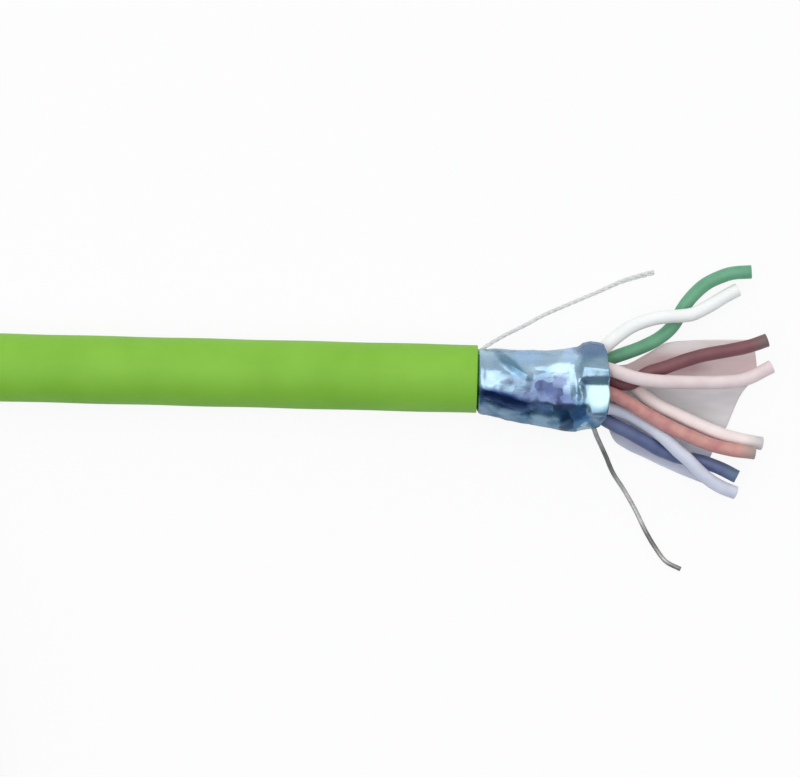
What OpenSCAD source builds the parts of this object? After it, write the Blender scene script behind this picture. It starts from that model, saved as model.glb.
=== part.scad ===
// Foil-screened four-pair network lead, 1 m long. One end is cut back to its
// layers and its eight conductors. The rest of the length is coiled up and ends
// in a shielded eight-contact plug.
// Frame: the origin is on the cable's axis at the jacket's cut end, +X runs out
// of the cut along the axis, +Z is up, and the lead lies on a table below it.
// All sizes are in millimetres.

/* [Jacket] */
// Outside diameter of the jacket
jacket_d = 7.2; // [6.8:0.1:8.4]
// Thickness of the jacket's wall
jacket_wall = 0.45; // [0.3:0.05:0.5]
// Length of the straight stretch behind the cut end
jacket_len = 54; // [44:1:80]
// Depth behind the cut end to which the layers inside lie open
open_len = 18; // [14:1:40]

/* [Wrapping] */
// Thickness of the metal foil
foil_t = 0.05; // [0.03:0.01:0.08]
// Thickness of the plastic film inside the foil
film_t = 0.03; // [0.02:0.01:0.06]
// Play between one layer and the next
layer_gap = 0.03; // [0.02:0.01:0.06]
// Height of the creases in the bare foil
crease_h = 0.2; // [0:0.05:0.25]
// Width of the foil's mouth
mouth_w = 9.5; // [8.8:0.1:10.5]
// Diameter of the bare drain wire
drain_d = 0.5; // [0.3:0.05:0.6]
// Diameter of the ripcord
ripcord_d = 0.45; // [0.2:0.05:0.45]

/* [Conductors] */
// Diameter of a conductor's insulation where it is free
wire_d = 1.45; // [1.2:0.05:1.5]
// Diameter of the insulation where the wrapping presses it
pressed_d = 1.2; // [1.0:0.02:1.24]
// Diameter of the copper core
core_d = 0.57; // [0.4:0.01:0.65]
// Width from the outermost green conductor to the drain wire's tip
fan_w = 32; // [32:0.5:40]
// Length in which a pair makes one full twist
lay = 18; // [12:1:24]
// Play between the two conductors of a pair at the twist's steps
pair_gap = 0.16; // [0.12:0.01:0.2]

/* [Coil] */
// Turns in the coil
coil_turns = 3.5; // [1.5:1:5.5]
// Radius of the coil's outermost turn, to the middle of the cable
coil_r = 43.5; // [38:0.5:60]
// Step from one turn to the next one beside it
coil_pitch = 8.2; // [8.1:0.1:12]
// Step from the lower layer of turns to the upper
coil_layer = 7.4; // [7.2:0.1:9]
// Distance from the straight stretch's end to the middle of the coil
coil_reach = 38.5; // [36:0.5:80]

/* [Plug] */
// Width of the plug's body
plug_w = 11.68; // [11:0.02:12]
// Height of the plug's body at its nose
plug_nose_h = 6.6; // [6:0.1:7]
// Height of the plug's body at its back
plug_back_h = 8; // [7.8:0.1:9]
// Length of the plug's body
plug_len = 21.5; // [20:0.5:24]
// Length of the body that the metal shell covers
shell_len = 13.5; // [12:0.5:14]
// Thickness of the metal shell
shell_t = 0.25; // [0.2:0.05:0.4]
// Length of the shell's collar round the cable
collar_len = 7; // [4:0.5:8]
// Spacing of the contacts
contact_pitch = 1.016; // [1:0.008:1.1]
// Thickness of a contact blade
contact_t = 0.35; // [0.2:0.05:0.4]
// Length of a contact blade
contact_len = 5.6; // [4:0.2:6]
// Height of a contact blade
contact_h = 3; // [2:0.1:3.2]
// Width of the latch lever at its root
latch_w = 6; // [5:0.1:6.4]
// Width of the latch lever's finger tail
latch_tail_w = 3.2; // [2.8:0.1:4]
// Length of the latch lever
latch_len = 14; // [12:0.2:15]
// Length of the latch lever's wide head
latch_head = 6.4; // [4:0.2:8]
// Thickness of the latch lever
latch_t = 1; // [0.8:0.05:1.2]
// Angle at which the free latch lever stands up
latch_rise = 15; // [14:0.5:18]
// Play round the parts that fit into the plug
fit = 0.05; // [0.03:0.01:0.08]

/* [Boot] */
// Width of the boot's head
boot_w = 13; // [12:0.1:15]
// Height of the boot's head
boot_h = 9.6; // [9.4:0.1:11]
// Length of the boot's head
boot_head = 9.5; // [9:0.5:14]
// Length of the boot's ribbed sleeve
boot_sleeve = 17; // [12:1:26]
// Number of ribs on the sleeve
boot_ribs = 5; // [3:1:7]
// Depth of the grooves between the ribs
boot_groove = 0.4; // [0.2:0.05:0.5]

/* [Hidden] */
$fn = 64;

JACKET_GREEN = [0.56, 0.79, 0.32];
table_z = -jacket_d / 2;
bore_r = jacket_d / 2 - jacket_wall;

// ---- helpers ----------------------------------------------------------------

function unit(v) = v / norm(v);
function mix(a, b, t) = a + (b - a) * t;
function clamp01(t) = max(0, min(1, t));
function ease(t) = let (c = clamp01(t)) c * c * (3 - 2 * c);
function pick(v, i) = is_list(v) ? v[i] : v;

// Direction of a route at point i. first and last fix the direction of its ends.
function heading(p, i, first, last) =
    i == 0 && !is_undef(first) ? first
    : i == len(p) - 1 && !is_undef(last) ? last
    : unit(p[min(i + 1, len(p) - 1)] - p[max(i - 1, 0)]);

// One ring of a tube: n points at radius r round c, square to the direction t.
function ring(c, t, r, n) =
    let (side = unit(cross([0, 0, 1], t)), up = cross(t, side))
    [for (k = [0:n - 1]) c + r * (cos(360 * k / n) * side + sin(360 * k / n) * up)];

// Triangles between ring number a and ring number b of n points each.
function band(a, b, n, flip = false) = [
    for (k = [0:n - 1])
        let (p = a * n + k, q = a * n + (k + 1) % n,
             s = b * n + (k + 1) % n, t = b * n + k)
        each (flip ? [[p, s, q], [p, t, s]] : [[p, q, s], [p, s, t]])
];

// Triangles that close ring number a.
function cap(a, n, flip = false) = [
    for (k = [1:n - 2])
        flip ? [a * n, a * n + k + 1, a * n + k] : [a * n, a * n + k, a * n + k + 1]
];

// A solid round bar along a route. r is one radius or one for each point.
module bar(path, r, n, first, last) {
    m = len(path);
    polyhedron(
        points = [
            for (i = [0:m - 1])
                each ring(path[i], heading(path, i, first, last), pick(r, i), n)
        ],
        faces = concat(
            cap(0, n),
            [for (i = [0:m - 2]) each band(i, i + 1, n, true)],
            cap(m - 1, n, true)),
        convexity = 8);
}

// A pipe along a route. r lists its outer radius at each point, r_in is its bore's.
module pipe(path, r, r_in, n, first) {
    m = len(path);
    outer = [for (i = [0:m - 1]) each ring(path[i], heading(path, i, first), r[i], n)];
    inner = [for (i = [0:m - 1]) each ring(path[i], heading(path, i, first), r_in, n)];
    polyhedron(
        points = concat(outer, inner),
        faces = concat(
            [for (i = [0:m - 2]) each band(i, i + 1, n, true)],
            [for (i = [0:m - 2]) each band(m + i, m + i + 1, n)],
            band(0, m, n),
            band(m - 1, 2 * m - 1, n, true)),
        convexity = 8);
}

// ---- wrapping ---------------------------------------------------------------

LAYER_SIDES = 24;
facet = cos(180 / LAYER_SIDES);
// Angles round the cable's axis at which the ripcord and the drain wire run
RIP_SIDE = 0;
DRAIN_SIDE = 180;
DENT_WIDTH = 15;
// Distance past the cut at which the ripcord's dent in the foil runs out
DENT_FADE = 2;

foil_r = bore_r - layer_gap;
foil_in_r = (foil_r - foil_t) * facet;
film_r = foil_in_r - layer_gap;
film_in_r = (film_r - film_t) * facet;
rip_y = bore_r - layer_gap - ripcord_d / 2;
drain_y = foil_in_r - layer_gap - drain_d / 2;
rip_dent = ripcord_d + 2 * layer_gap;
drain_dent = drain_d + 2 * layer_gap;

// How far a wire at angle v dents a layer at angle a.
function dent(a, v, depth) =
    let (d = abs(((a - v + 540) % 360) - 180)) depth * exp(-pow(d / DENT_WIDTH, 2));

// Bare foil: distance from the cut, reach to +Y, reach to -Y, reach upwards.
LEFT = 1;
RIGHT = 2;
UP = 3;
FLARE = [
    [0.6, 3.30, 3.80, 3.70],
    [1.6, 3.35, 4.05, 3.75],
    [3.2, 3.25, 4.45, 3.75],
    [4.8, 3.25, 4.70, 3.75],
    [6.4, 3.30, 4.90, 3.75],
    [8.0, 3.45, 5.10, 3.80],
    [9.4, 3.60, 5.30, 3.85],
    [10.5, 3.75, 5.35, 3.90],
    [11.1, 4.20, 5.20, 4.15],
    [11.9, 4.40, 5.10, 4.20],
    [15.0, 4.30, 5.00, 4.20],
];
// Width of the mouth for which these reaches are laid
FLARE_W = 9.5;
foil_table_gap = 0.05;

// Torn rim of the foil: angle round the axis, distance from the cut.
RIM = [
    [0, 12.7], [15, 13.2], [30, 13.5], [45, 13.7], [60, 13.8], [75, 13.9], [90, 13.9],
    [105, 14.0], [120, 14.0], [135, 13.8], [150, 13.4], [165, 13.0], [180, 12.0],
    [195, 12.2], [210, 12.5], [225, 12.6], [240, 12.7], [255, 12.8], [270, 12.9],
    [285, 12.9], [300, 12.9], [315, 12.9], [330, 12.9], [345, 12.8], [360, 12.7],
];

function flare(x, column) =
    lookup(x, concat([[0, foil_r]], [for (p = FLARE) [p[0], p[column] * mouth_w / FLARE_W]]));
function flare_low(x) = lookup(x, [[0, foil_r], [FLARE[0][0], -table_z - foil_table_gap]]);

// Two sets of waves that cross, no deeper than crease_h.
function crease(x, a) =
    x < FLARE[0][0] ? 0 : -crease_h * (2 + sin(5 * a + 140 * x) + sin(7 * a - 210 * x)) / 4;

// A point of the foil's outer face, or inset below it, at distance x and angle a.
function foil_point(x, a, inset) =
    let (fade = ease(1 - x / DENT_FADE),
         d = crease(x, a) - inset - dent(a, RIP_SIDE, rip_dent) * fade,
         across = cos(a) > 0 ? flare(x, LEFT) : flare(x, RIGHT),
         along = sin(a) > 0 ? flare(x, UP) : flare_low(x))
    [x, (across + d) * cos(a), (along + d) * sin(a)];

module foil_screen() {
    steps = concat([-open_len, 0], [for (i = [0:len(FLARE) - 2]) FLARE[i][0]]);
    m = len(steps) + 1;
    n = LAYER_SIDES;
    function face(inset) = [
        for (i = [0:m - 1], k = [0:n - 1])
            let (a = 360 * k / n) foil_point(i < m - 1 ? steps[i] : lookup(a, RIM), a, inset)
    ];
    color([0.59, 0.71, 0.80])
    polyhedron(
        points = concat(face(0), face(foil_t)),
        faces = concat(
            [for (i = [0:m - 2]) each band(i, i + 1, n, true)],
            [for (i = [0:m - 2]) each band(m + i, m + i + 1, n)],
            band(0, m, n),
            band(m - 1, 2 * m - 1, n, true)),
        convexity = 10);
}

// Film: closed round the conductors inside the cable, then open along its top
// and laid out as a tongue. Distance from the cut, edge towards -Y, edge
// towards +Y, height of its middle above the table, rise of its edges.
TONGUE = [
    [3.0, -2.0, 2.0, 0.62, 0.75],
    [8.0, -2.2, 2.0, 0.48, 0.60],
    [12.0, -2.4, 1.8, 0.45, 0.50],
    [13.4, -3.0, 1.7, 0.38, 0.40],
    [14.6, -5.9, 1.8, 0.28, 0.30],
    [16.0, -7.0, 2.0, 0.22, 0.25],
    [18.0, -7.9, 3.1, 0.14, 0.25],
    [20.0, -8.8, 4.3, 0.10, 0.25],
    [23.0, -10.0, 4.7, 0.10, 0.20],
    [29.0, -10.5, 4.9, 0.10, 0.30],
];
// Torn end of the tongue: where it ends at each distance to the side.
TONGUE_END = [
    [-10.5, 24.4], [-8.0, 25.0], [-5.2, 26.2], [-4.2, 26.8], [-2.1, 27.6], [-0.3, 28.6],
    [0.8, 29.6], [3.3, 29.6], [4.9, 29.0],
];
// The film opens between these distances from the cut, and its edges draw back
// from the closed seam to the tongue's: half of the angle that it covers.
FILM_OPEN = [0.2, TONGUE[0][0]];
OPEN_STEPS = 6;
SEAM_HALF = 178;
TONGUE_HALF = 42;

function film_ring(x, u) =
    let (t = clamp01((x - FILM_OPEN[0]) / (FILM_OPEN[1] - FILM_OPEN[0])),
         a = 270 + (2 * u - 1) * mix(SEAM_HALF, TONGUE_HALF, t),
         r = film_r - dent(a, RIP_SIDE, rip_dent) - dent(a, DRAIN_SIDE, drain_dent))
    [x, r * cos(a), r * sin(a)];
function film_tongue(row, u) =
    let (y = mix(row[1], row[2], u))
    [row == TONGUE[len(TONGUE) - 1] ? lookup(y, TONGUE_END) : row[0],
     y, table_z + row[3] + row[4] * pow(2 * u - 1, 2)];

module film_wrap() {
    opening = [
        for (i = [0:OPEN_STEPS - 1]) mix(FILM_OPEN[0], FILM_OPEN[1], i / OPEN_STEPS)
    ];
    rings = concat([-open_len, 0], opening);
    n = LAYER_SIDES + 1;
    m = len(rings) + len(TONGUE);
    low = [
        for (i = [0:m - 1], k = [0:n - 1])
            let (u = k / (n - 1))
            i < len(rings) ? film_ring(rings[i], u) : film_tongue(TONGUE[i - len(rings)], u)
    ];
    // The upper face lies film_t towards the cable's axis, or above the tongue.
    function inward(p) = p + film_t * (p[0] < FILM_OPEN[1] ? unit([0, -p[1], -p[2]]) : [0, 0, 1]);
    high = [for (p = low) inward(p)];
    count = m * n;
    function quad(a, b, c, d) = [[a, b, c], [a, c, d]];
    color([0.70, 0.67, 0.68])
    polyhedron(
        points = concat(low, high),
        faces = concat(
            [for (i = [0:m - 2], k = [0:n - 2])
                let (p = i * n + k) each quad(p, p + n, p + n + 1, p + 1)],
            [for (i = [0:m - 2], k = [0:n - 2])
                let (p = count + i * n + k) each quad(p, p + 1, p + n + 1, p + n)],
            [for (i = [0:m - 2])
                let (p = i * n) each quad(p, count + p, count + p + n, p + n)],
            [for (i = [0:m - 2])
                let (p = i * n + n - 1) each quad(p, p + n, count + p + n, count + p)],
            [for (k = [0:n - 2]) each quad(k, k + 1, count + k + 1, count + k)],
            [for (k = [0:n - 2])
                let (p = (m - 1) * n + k) each quad(p, count + p, count + p + 1, p + 1)]),
        convexity = 10);
}

// ---- conductors -------------------------------------------------------------

// Free ends, hand laid: distance from the cut, distance to +Y, height above the
// table. The first point lies in the foil's mouth.
mouth_x = 12.5;
FAN_GREEN = [
    [mouth_x, 1.95, 2.1], [14.0, 2.5, 2.0], [15.6, 3.1, 1.9], [16.9, 3.6, 1.8],
    [18.2, 4.2, 1.6], [19.3, 4.85, 1.5], [20.3, 5.7, 1.35], [21.0, 6.6, 1.3],
    [21.5, 7.6, 1.3], [22.1, 8.6, 1.35], [22.9, 9.6, 1.4], [24.1, 10.7, 1.5],
    [25.4, 11.4, 1.6], [26.8, 11.9, 1.7], [28.9, 12.1, 1.8],
];
FAN_WHITE_GREEN = [
    [mouth_x, 2.95, 3.25], [13.5, 3.75, 3.3], [14.4, 4.6, 3.3], [15.4, 5.4, 3.3],
    [16.5, 6.1, 3.25], [18.2, 6.75, 3.2], [20.0, 7.1, 3.1], [21.4, 7.2, 2.95],
    [22.6, 7.4, 2.75], [23.6, 7.85, 2.55], [24.7, 8.5, 2.3], [26.0, 9.35, 2.0],
    [27.5, 10.2, 1.8],
];
FAN_BROWN = [
    [mouth_x, 1.5, 4.0], [13.8, 0.75, 3.75], [15.0, 0.0, 3.45], [16.1, -0.1, 3.3],
    [17.0, 0.35, 3.3], [18.1, 1.1, 3.35], [19.9, 1.7, 3.3], [22.0, 2.5, 3.1],
    [23.9, 3.1, 3.0], [26.7, 3.7, 2.8], [28.8, 4.2, 2.7], [30.7, 4.9, 2.6],
];
FAN_WHITE_BROWN = [
    [mouth_x, 1.6, 5.55], [14.0, 1.35, 5.6], [15.1, 1.0, 5.5], [16.4, 0.6, 5.3],
    [18.3, 0.3, 4.9], [21.5, 0.2, 4.4], [25.7, 0.3, 3.8], [28.4, 0.7, 3.5], [31.2, 2.1, 3.2],
];
FAN_ORANGE = [
    [mouth_x, -1.0, 4.2], [13.7, -1.0, 4.1], [14.8, -1.4, 4.0], [15.8, -1.9, 3.9],
    [17.3, -2.8, 3.7], [18.9, -3.7, 3.5], [20.6, -4.6, 3.3], [22.7, -5.5, 3.1],
    [24.8, -6.3, 2.9], [27.0, -6.8, 2.7], [29.7, -7.1, 2.5],
];
FAN_WHITE_ORANGE = [
    [mouth_x, 0.3, 2.7], [14.0, 0.5, 2.1], [15.3, 0.3, 1.75], [16.6, -0.3, 1.75],
    [17.9, -1.4, 1.95], [19.4, -2.4, 2.1], [21.0, -3.1, 2.2], [23.7, -4.3, 2.1],
    [26.4, -5.3, 1.8], [28.5, -5.8, 1.5], [30.5, -6.1, 1.2],
];
FAN_BLUE = [
    [mouth_x, -3.1, 2.3], [13.4, -3.8, 2.15], [14.3, -4.3, 2.2], [15.3, -4.8, 2.25],
    [16.3, -5.25, 2.25], [17.4, -5.85, 2.15], [18.4, -6.4, 1.95], [19.4, -6.95, 1.7],
    [20.4, -7.35, 1.5], [21.4, -7.7, 1.35], [22.5, -7.9, 1.3], [23.8, -8.1, 1.3],
    [26.0, -8.8, 1.4], [27.9, -9.7, 1.5],
];
FAN_WHITE_BLUE = [
    [mouth_x, -2.7, 3.8], [13.4, -2.7, 3.5], [14.3, -2.75, 2.95], [15.3, -3.0, 2.4],
    [16.3, -3.4, 2.1], [17.4, -4.0, 2.05], [18.4, -4.6, 2.2], [19.4, -5.25, 2.45],
    [20.4, -6.1, 2.7], [21.4, -7.05, 2.85], [22.5, -7.95, 2.85], [23.8, -9.2, 2.6],
    [25.1, -10.2, 2.2], [26.4, -10.9, 1.9], [27.8, -11.4, 1.6],
];

// Each pair: the sides of the cable's axis on which its own axis lies, the angle
// of its second conductor at the jacket's cut, the part of the way to the mouth
// over which its axis moves aside, and the routes and the colours of its two
// conductors.
GREEN_PAIR = [
    [1, -1], 75, [0.3, 1], [FAN_GREEN, FAN_WHITE_GREEN],
    [[0.40, 0.62, 0.48], [0.87, 0.92, 0.88]],
];
BROWN_PAIR = [
    [1, 1], 345, [0.3, 1], [FAN_BROWN, FAN_WHITE_BROWN],
    [[0.48, 0.35, 0.36], [0.91, 0.83, 0.83]],
];
ORANGE_PAIR = [
    [-1, 1], 255, [0.4, 1], [FAN_ORANGE, FAN_WHITE_ORANGE],
    [[0.78, 0.52, 0.50], [0.96, 0.90, 0.89]],
];
BLUE_PAIR = [
    [-1, -1], 165, [0, 0.7], [FAN_BLUE, FAN_WHITE_BLUE],
    [[0.36, 0.41, 0.58], [0.82, 0.84, 0.90]],
];
function pair_sides(pair) = pair[0];
function pair_start(pair) = pair[1];
function pair_window(pair) = pair[2];
function pair_fan(pair, which) = pair[3][which];
function pair_colour(pair, which) = pair[4][which];

pair_step = pressed_d + pair_gap;
pair_axis = (film_in_r - layer_gap - pair_step / 2 - pressed_d / 2) / sqrt(2);
// Rings of a conductor in one lay, and from the cut to the mouth
LAY_STEPS = 8;
LOOSE_STEPS = 6;

// Width for which the free ends are laid, and the distance past the mouth over
// which a wider spread sets in
FAN_LAID_W = 32;
FAN_FADE = 6;

// A point of a free end: its place from the table up, spread to the fan's width.
function raised(p) =
    let (wider = mix(1, fan_w / FAN_LAID_W, ease((p[0] - mouth_x) / FAN_FADE)))
    [p[0], wider * p[1], table_z + p[2]];

// Where the free end of a conductor begins, as [y, z].
function mouth(pair, which) = let (p = raised(pair_fan(pair, which)[0])) [p[1], p[2]];

// Inside the cable a pair keeps its lay. From the cut to the mouth it loosens
// and turns, the shorter way round, into the place where its free ends begin.
function twist(pair, which, x) =
    let (t = clamp01(x / mouth_x),
         window = pair_window(pair),
         spread = (mouth(pair, 1) - mouth(pair, 0)) / 2,
         turn = (atan2(spread[1], spread[0]) - pair_start(pair) + 900) % 360 - 180,
         a = pair_start(pair) + (x <= 0 ? 360 * x / lay : turn * t),
         half = (which == 1 ? 1 : -1) * mix(pair_step / 2, norm(spread), t),
         aside = ease((t - window[0]) / (window[1] - window[0])),
         middle = mix(pair_axis * pair_sides(pair), (mouth(pair, 0) + mouth(pair, 1)) / 2, aside))
    [x, middle[0] + half * cos(a), middle[1] + half * sin(a)];

function wire_route(pair, which) =
    let (step = lay / LAY_STEPS, count = ceil(open_len / step))
    concat(
        [for (i = [0:count - 1]) twist(pair, which, i * step - open_len)],
        [for (i = [0:LOOSE_STEPS - 1]) twist(pair, which, mouth_x * i / LOOSE_STEPS)],
        [for (p = pair_fan(pair, which)) raised(p)]);

function wire_r(p) = mix(pressed_d, wire_d, ease(p[0] / mouth_x)) / 2;

WIRE_SIDES = 8;
core_fit = 0.01;

module wire(pair, which) {
    route = wire_route(pair, which);
    outer = [for (p = route) wire_r(p)];
    color(pair_colour(pair, which)) pipe(route, outer, core_d / 2 + core_fit, WIRE_SIDES, [1, 0, 0]);
}
module core(pair, which) {
    color([0.79, 0.49, 0.32]) bar(wire_route(pair, which), core_d / 2, WIRE_SIDES, [1, 0, 0]);
}

// ---- drain wire and ripcord --------------------------------------------------

// Hand laid in the same way.
DRAIN = [
    [2.0, -3.3, 3.6], [5.0, -4.0, 3.6], [8.0, -4.3, 3.6], [10.5, -4.4, 3.6], [11.8, -4.4, 3.6],
    [12.4, -4.8, 3.5], [12.8, -5.7, 3.2], [13.4, -6.9, 2.7], [13.9, -7.9, 2.2], [14.7, -9.6, 1.5],
    [16.0, -11.5, 0.9], [17.2, -13.5, 0.6], [18.4, -15.8, 0.4], [19.4, -17.4, 0.3],
    [20.6, -18.9, 0.3], [22.2, -19.7, 0.3],
];
RIPCORD = [
    [0.9, 3.5, 3.5], [1.8, 4.1, 3.3], [2.9, 4.75, 3.0], [4.9, 5.8, 2.3], [6.9, 6.95, 1.6],
    [8.7, 7.8, 1.1], [10.7, 8.7, 0.8], [12.8, 9.65, 0.5], [15.4, 10.85, 0.35], [18.6, 11.85, 0.3],
];

// From the bottom of the opened stretch to the cut at y, and on along points.
function layer_route(y, points) =
    concat([[-open_len, y, 0], [0, y, 0]], [for (p = points) raised(p)]);

module drain_wire() {
    color([0.62, 0.63, 0.62]) bar(layer_route(-drain_y, DRAIN), drain_d / 2, WIRE_SIDES, [1, 0, 0]);
}
module ripcord() {
    color([0.90, 0.90, 0.89]) bar(layer_route(rip_y, RIPCORD), ripcord_d / 2, WIRE_SIDES, [1, 0, 0]);
}

// ---- jacket and the rest of the cable ------------------------------------------

module jacket() {
    color(JACKET_GREEN)
    difference() {
        translate([-jacket_len, 0, 0]) rotate([0, 90, 0]) cylinder(h = jacket_len, d = jacket_d);
        translate([-open_len, 0, 0]) rotate([0, 90, 0]) cylinder(h = open_len + 1, r = bore_r);
    }
}

COIL_SIDES = 6;
COIL_STEPS = 24;
LEAD_SIDES = 12;
// The coil's few sides are this much further out than the jacket, so that its
// section is as large as the jacket's.
SECTION_GAIN = 1.05;
coil_face = SECTION_GAIN * jacket_d / 2;
coil_x = -jacket_len - coil_reach;
coil_z = table_z + coil_face * cos(180 / COIL_SIDES);
coil_end = 8;
reversal = coil_turns / 2;

// Middle of the cable after t turns. The turns step in to the reversal and out
// again, and the cable climbs to the upper layer in the half turn round it.
function coil_point(t) =
    let (r = coil_r - coil_pitch * min(t, coil_turns - t), a = 90 + 360 * t)
    [coil_x + r * cos(a), r * sin(a) - coil_r,
     coil_z + coil_layer * ease((t - reversal + 0.25) / 0.5)];

coil_route = concat(
    [[coil_x + coil_end, 0, 0]],
    [for (i = [0:coil_turns * COIL_STEPS]) coil_point(i / COIL_STEPS)],
    [coil_point(coil_turns) + [coil_end, 0, 0]]);

// Corners and edge middles of the coil's section at point i.
function coil_rim(i) =
    let (c = ring(coil_route[i], heading(coil_route, i), coil_face, COIL_SIDES))
    [for (k = [0:COIL_SIDES - 1]) each [c[k], (c[k] + c[(k + 1) % COIL_SIDES]) / 2]];

function coil_gap() =
    let (m = len(coil_route), rims = [for (i = [0:m - 1]) coil_rim(i)])
    min([for (i = [0:m - 1], j = [i + COIL_STEPS / 2:m - 1])
        if (norm(coil_route[i] - coil_route[j]) < 1.5 * jacket_d)
            each [for (p = rims[i], q = rims[j]) norm(p - q)]]);

module cable_coil() {
    echo(coil_least_gap_mm = coil_gap());
    color(JACKET_GREEN) bar(coil_route, coil_face, COIL_SIDES, [-1, 0, 0], [1, 0, 0]);
}

// Straight stretch from the jacket's end back to the coil.
module cable_run() {
    start = coil_route[0];
    route = [for (t = [0, 0.5, 1]) mix([-jacket_len, 0, 0], start, t)];
    color(JACKET_GREEN) bar(route, jacket_d / 2, LEAD_SIDES);
}

// The lead leaves the coil's upper layer and comes down to the plug. Distance
// past the coil's end, how much of the way down it still has to go, and how far
// it has moved aside to +Y.
LEAD_DOWN = [
    [0, 1, 0], [6, 0.94, 0.1], [12, 0.76, 0.6], [18, 0.52, 1.5], [24, 0.28, 2.4],
    [30, 0.09, 2.9], [36, 0, 3], [42, 0, 3],
];
lead_start = coil_route[len(coil_route) - 1];
lead_last = LEAD_DOWN[len(LEAD_DOWN) - 1];
boot_len = boot_head + boot_sleeve;
plug_x = lead_start[0] + lead_last[0] + boot_len;
plug_y = lead_start[1] + lead_last[2];
plug_z = table_z + boot_h / 2;

module plug_lead() {
    down = [
        for (p = LEAD_DOWN)
            [lead_start[0] + p[0], lead_start[1] + p[2], mix(plug_z, lead_start[2], p[1])]
    ];
    route = concat(down, [[plug_x, plug_y, plug_z]]);
    color(JACKET_GREEN) bar(route, jacket_d / 2, LEAD_SIDES, [1, 0, 0], [1, 0, 0]);
}

// ---- plug ---------------------------------------------------------------------
// Modelled round its own origin: the cable enters the body's back face at x = 0,
// the nose points to +X and the latch is on top.

CONTACTS = 8;
shell_gap = 0.02;
contact_recess = 0.25;
back_z = plug_back_h / 2;
nose_top = plug_nose_h - back_z;
// The body's back part is higher up to step_x.
step_x = shell_len - 3;
slot_x = plug_len - contact_recess - contact_len;
slot_z = contact_recess + contact_h - back_z;
// Cavity for the conductors, and the bar in its front end
cavity_w = 8.4;
cavity_h = 5;
cavity_len = 12;
bar_len = 6;
bar_hole_d = 1.07;
bar_row_step = 1.6;

module at_plug() { translate([plug_x, plug_y, plug_z]) children(); }

// A block from x0 to x1, w wide round the axis, from z0 to z1.
module block(x0, x1, w, z0, z1) {
    translate([x0, -w / 2, z0]) cube([x1 - x0, w, z1 - z0]);
}

function contact_y(i) = (i - (CONTACTS + 1) / 2) * contact_pitch;

module plug_housing() {
    inset = shell_t + shell_gap;
    chamfer = 0.6;
    nose_len = plug_len - shell_len;
    color([0.86, 0.88, 0.88]) at_plug()
    difference() {
        union() {
            block(0, shell_len, plug_w - 2 * inset, inset - back_z, nose_top);
            block(0, step_x - inset, plug_w - 2 * inset, inset - back_z, back_z - inset);
            translate([shell_len, plug_w / 2, 0]) rotate([90, 0, 0])
                linear_extrude(height = plug_w) polygon([
                    [0, -back_z], [nose_len - chamfer, -back_z],
                    [nose_len, chamfer - back_z], [nose_len, nose_top - chamfer],
                    [nose_len - chamfer, nose_top], [0, nose_top],
                ]);
        }
        block(-1, cavity_len, cavity_w, -cavity_h / 2, cavity_h / 2);
        for (i = [1:CONTACTS]) translate([0, contact_y(i), 0])
            block(slot_x - fit, plug_len + 1, contact_t + 2 * fit, -back_z - 1, slot_z + fit);
    }
}

module plug_shell() {
    inner_w = plug_w - 2 * shell_t;
    color([0.76, 0.77, 0.78]) at_plug()
    difference() {
        union() {
            block(-shell_t, shell_len, plug_w, -back_z, nose_top);
            block(-shell_t, step_x, plug_w, -back_z, back_z);
            translate([-collar_len, 0, 0]) rotate([0, 90, 0])
                cylinder(h = collar_len, r = jacket_d / 2 + fit + shell_t);
        }
        block(0, shell_len + 1, inner_w, shell_t - back_z, nose_top + 1);
        block(0, step_x - shell_t, inner_w, shell_t - back_z, back_z - shell_t);
        translate([-collar_len - 1, 0, 0]) rotate([0, 90, 0])
            cylinder(h = collar_len + 2, r = jacket_d / 2 + fit);
    }
}

// Bar that keeps the conductors in line inside the body.
module load_bar() {
    top = cavity_h / 2 - fit;
    color([0.93, 0.93, 0.90]) at_plug()
    difference() {
        block(cavity_len - bar_len, cavity_len, cavity_w - 2 * fit, -top, top);
        for (i = [1:CONTACTS])
            translate([cavity_len - bar_len - 1, contact_y(i), (i % 2 - 0.5) * bar_row_step])
                rotate([0, 90, 0]) cylinder(h = bar_len + 2, d = bar_hole_d, $fn = 32);
    }
}

module contact(i) {
    color([0.85, 0.70, 0.35]) at_plug() translate([0, contact_y(i), 0])
        block(slot_x, slot_x + contact_len, contact_t, slot_z - contact_h, slot_z);
}

hinge_r = latch_t / 2;
hinge_gap = 0.12;
hinge_x = plug_len - 1.1;
hinge_z = nose_top + hinge_gap + hinge_r;

// Lever on the plug's top, hinged at the nose, with a stop bar across its head.
module latch_lever() {
    stop_len = 1.6;
    stop_h = 0.5;
    color([0.86, 0.88, 0.88]) at_plug()
    translate([hinge_x, 0, hinge_z]) rotate([0, latch_rise, 0]) {
        translate([0, latch_w / 2, 0]) rotate([90, 0, 0]) cylinder(h = latch_w, r = hinge_r);
        block(-latch_head, 0, latch_w, -hinge_r, hinge_r);
        block(-latch_len, -latch_head, latch_tail_w, -hinge_r, hinge_r);
        block(-latch_head, stop_len - latch_head, latch_w, hinge_r, hinge_r + stop_h);
    }
}

// ---- boot -----------------------------------------------------------------------

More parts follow.
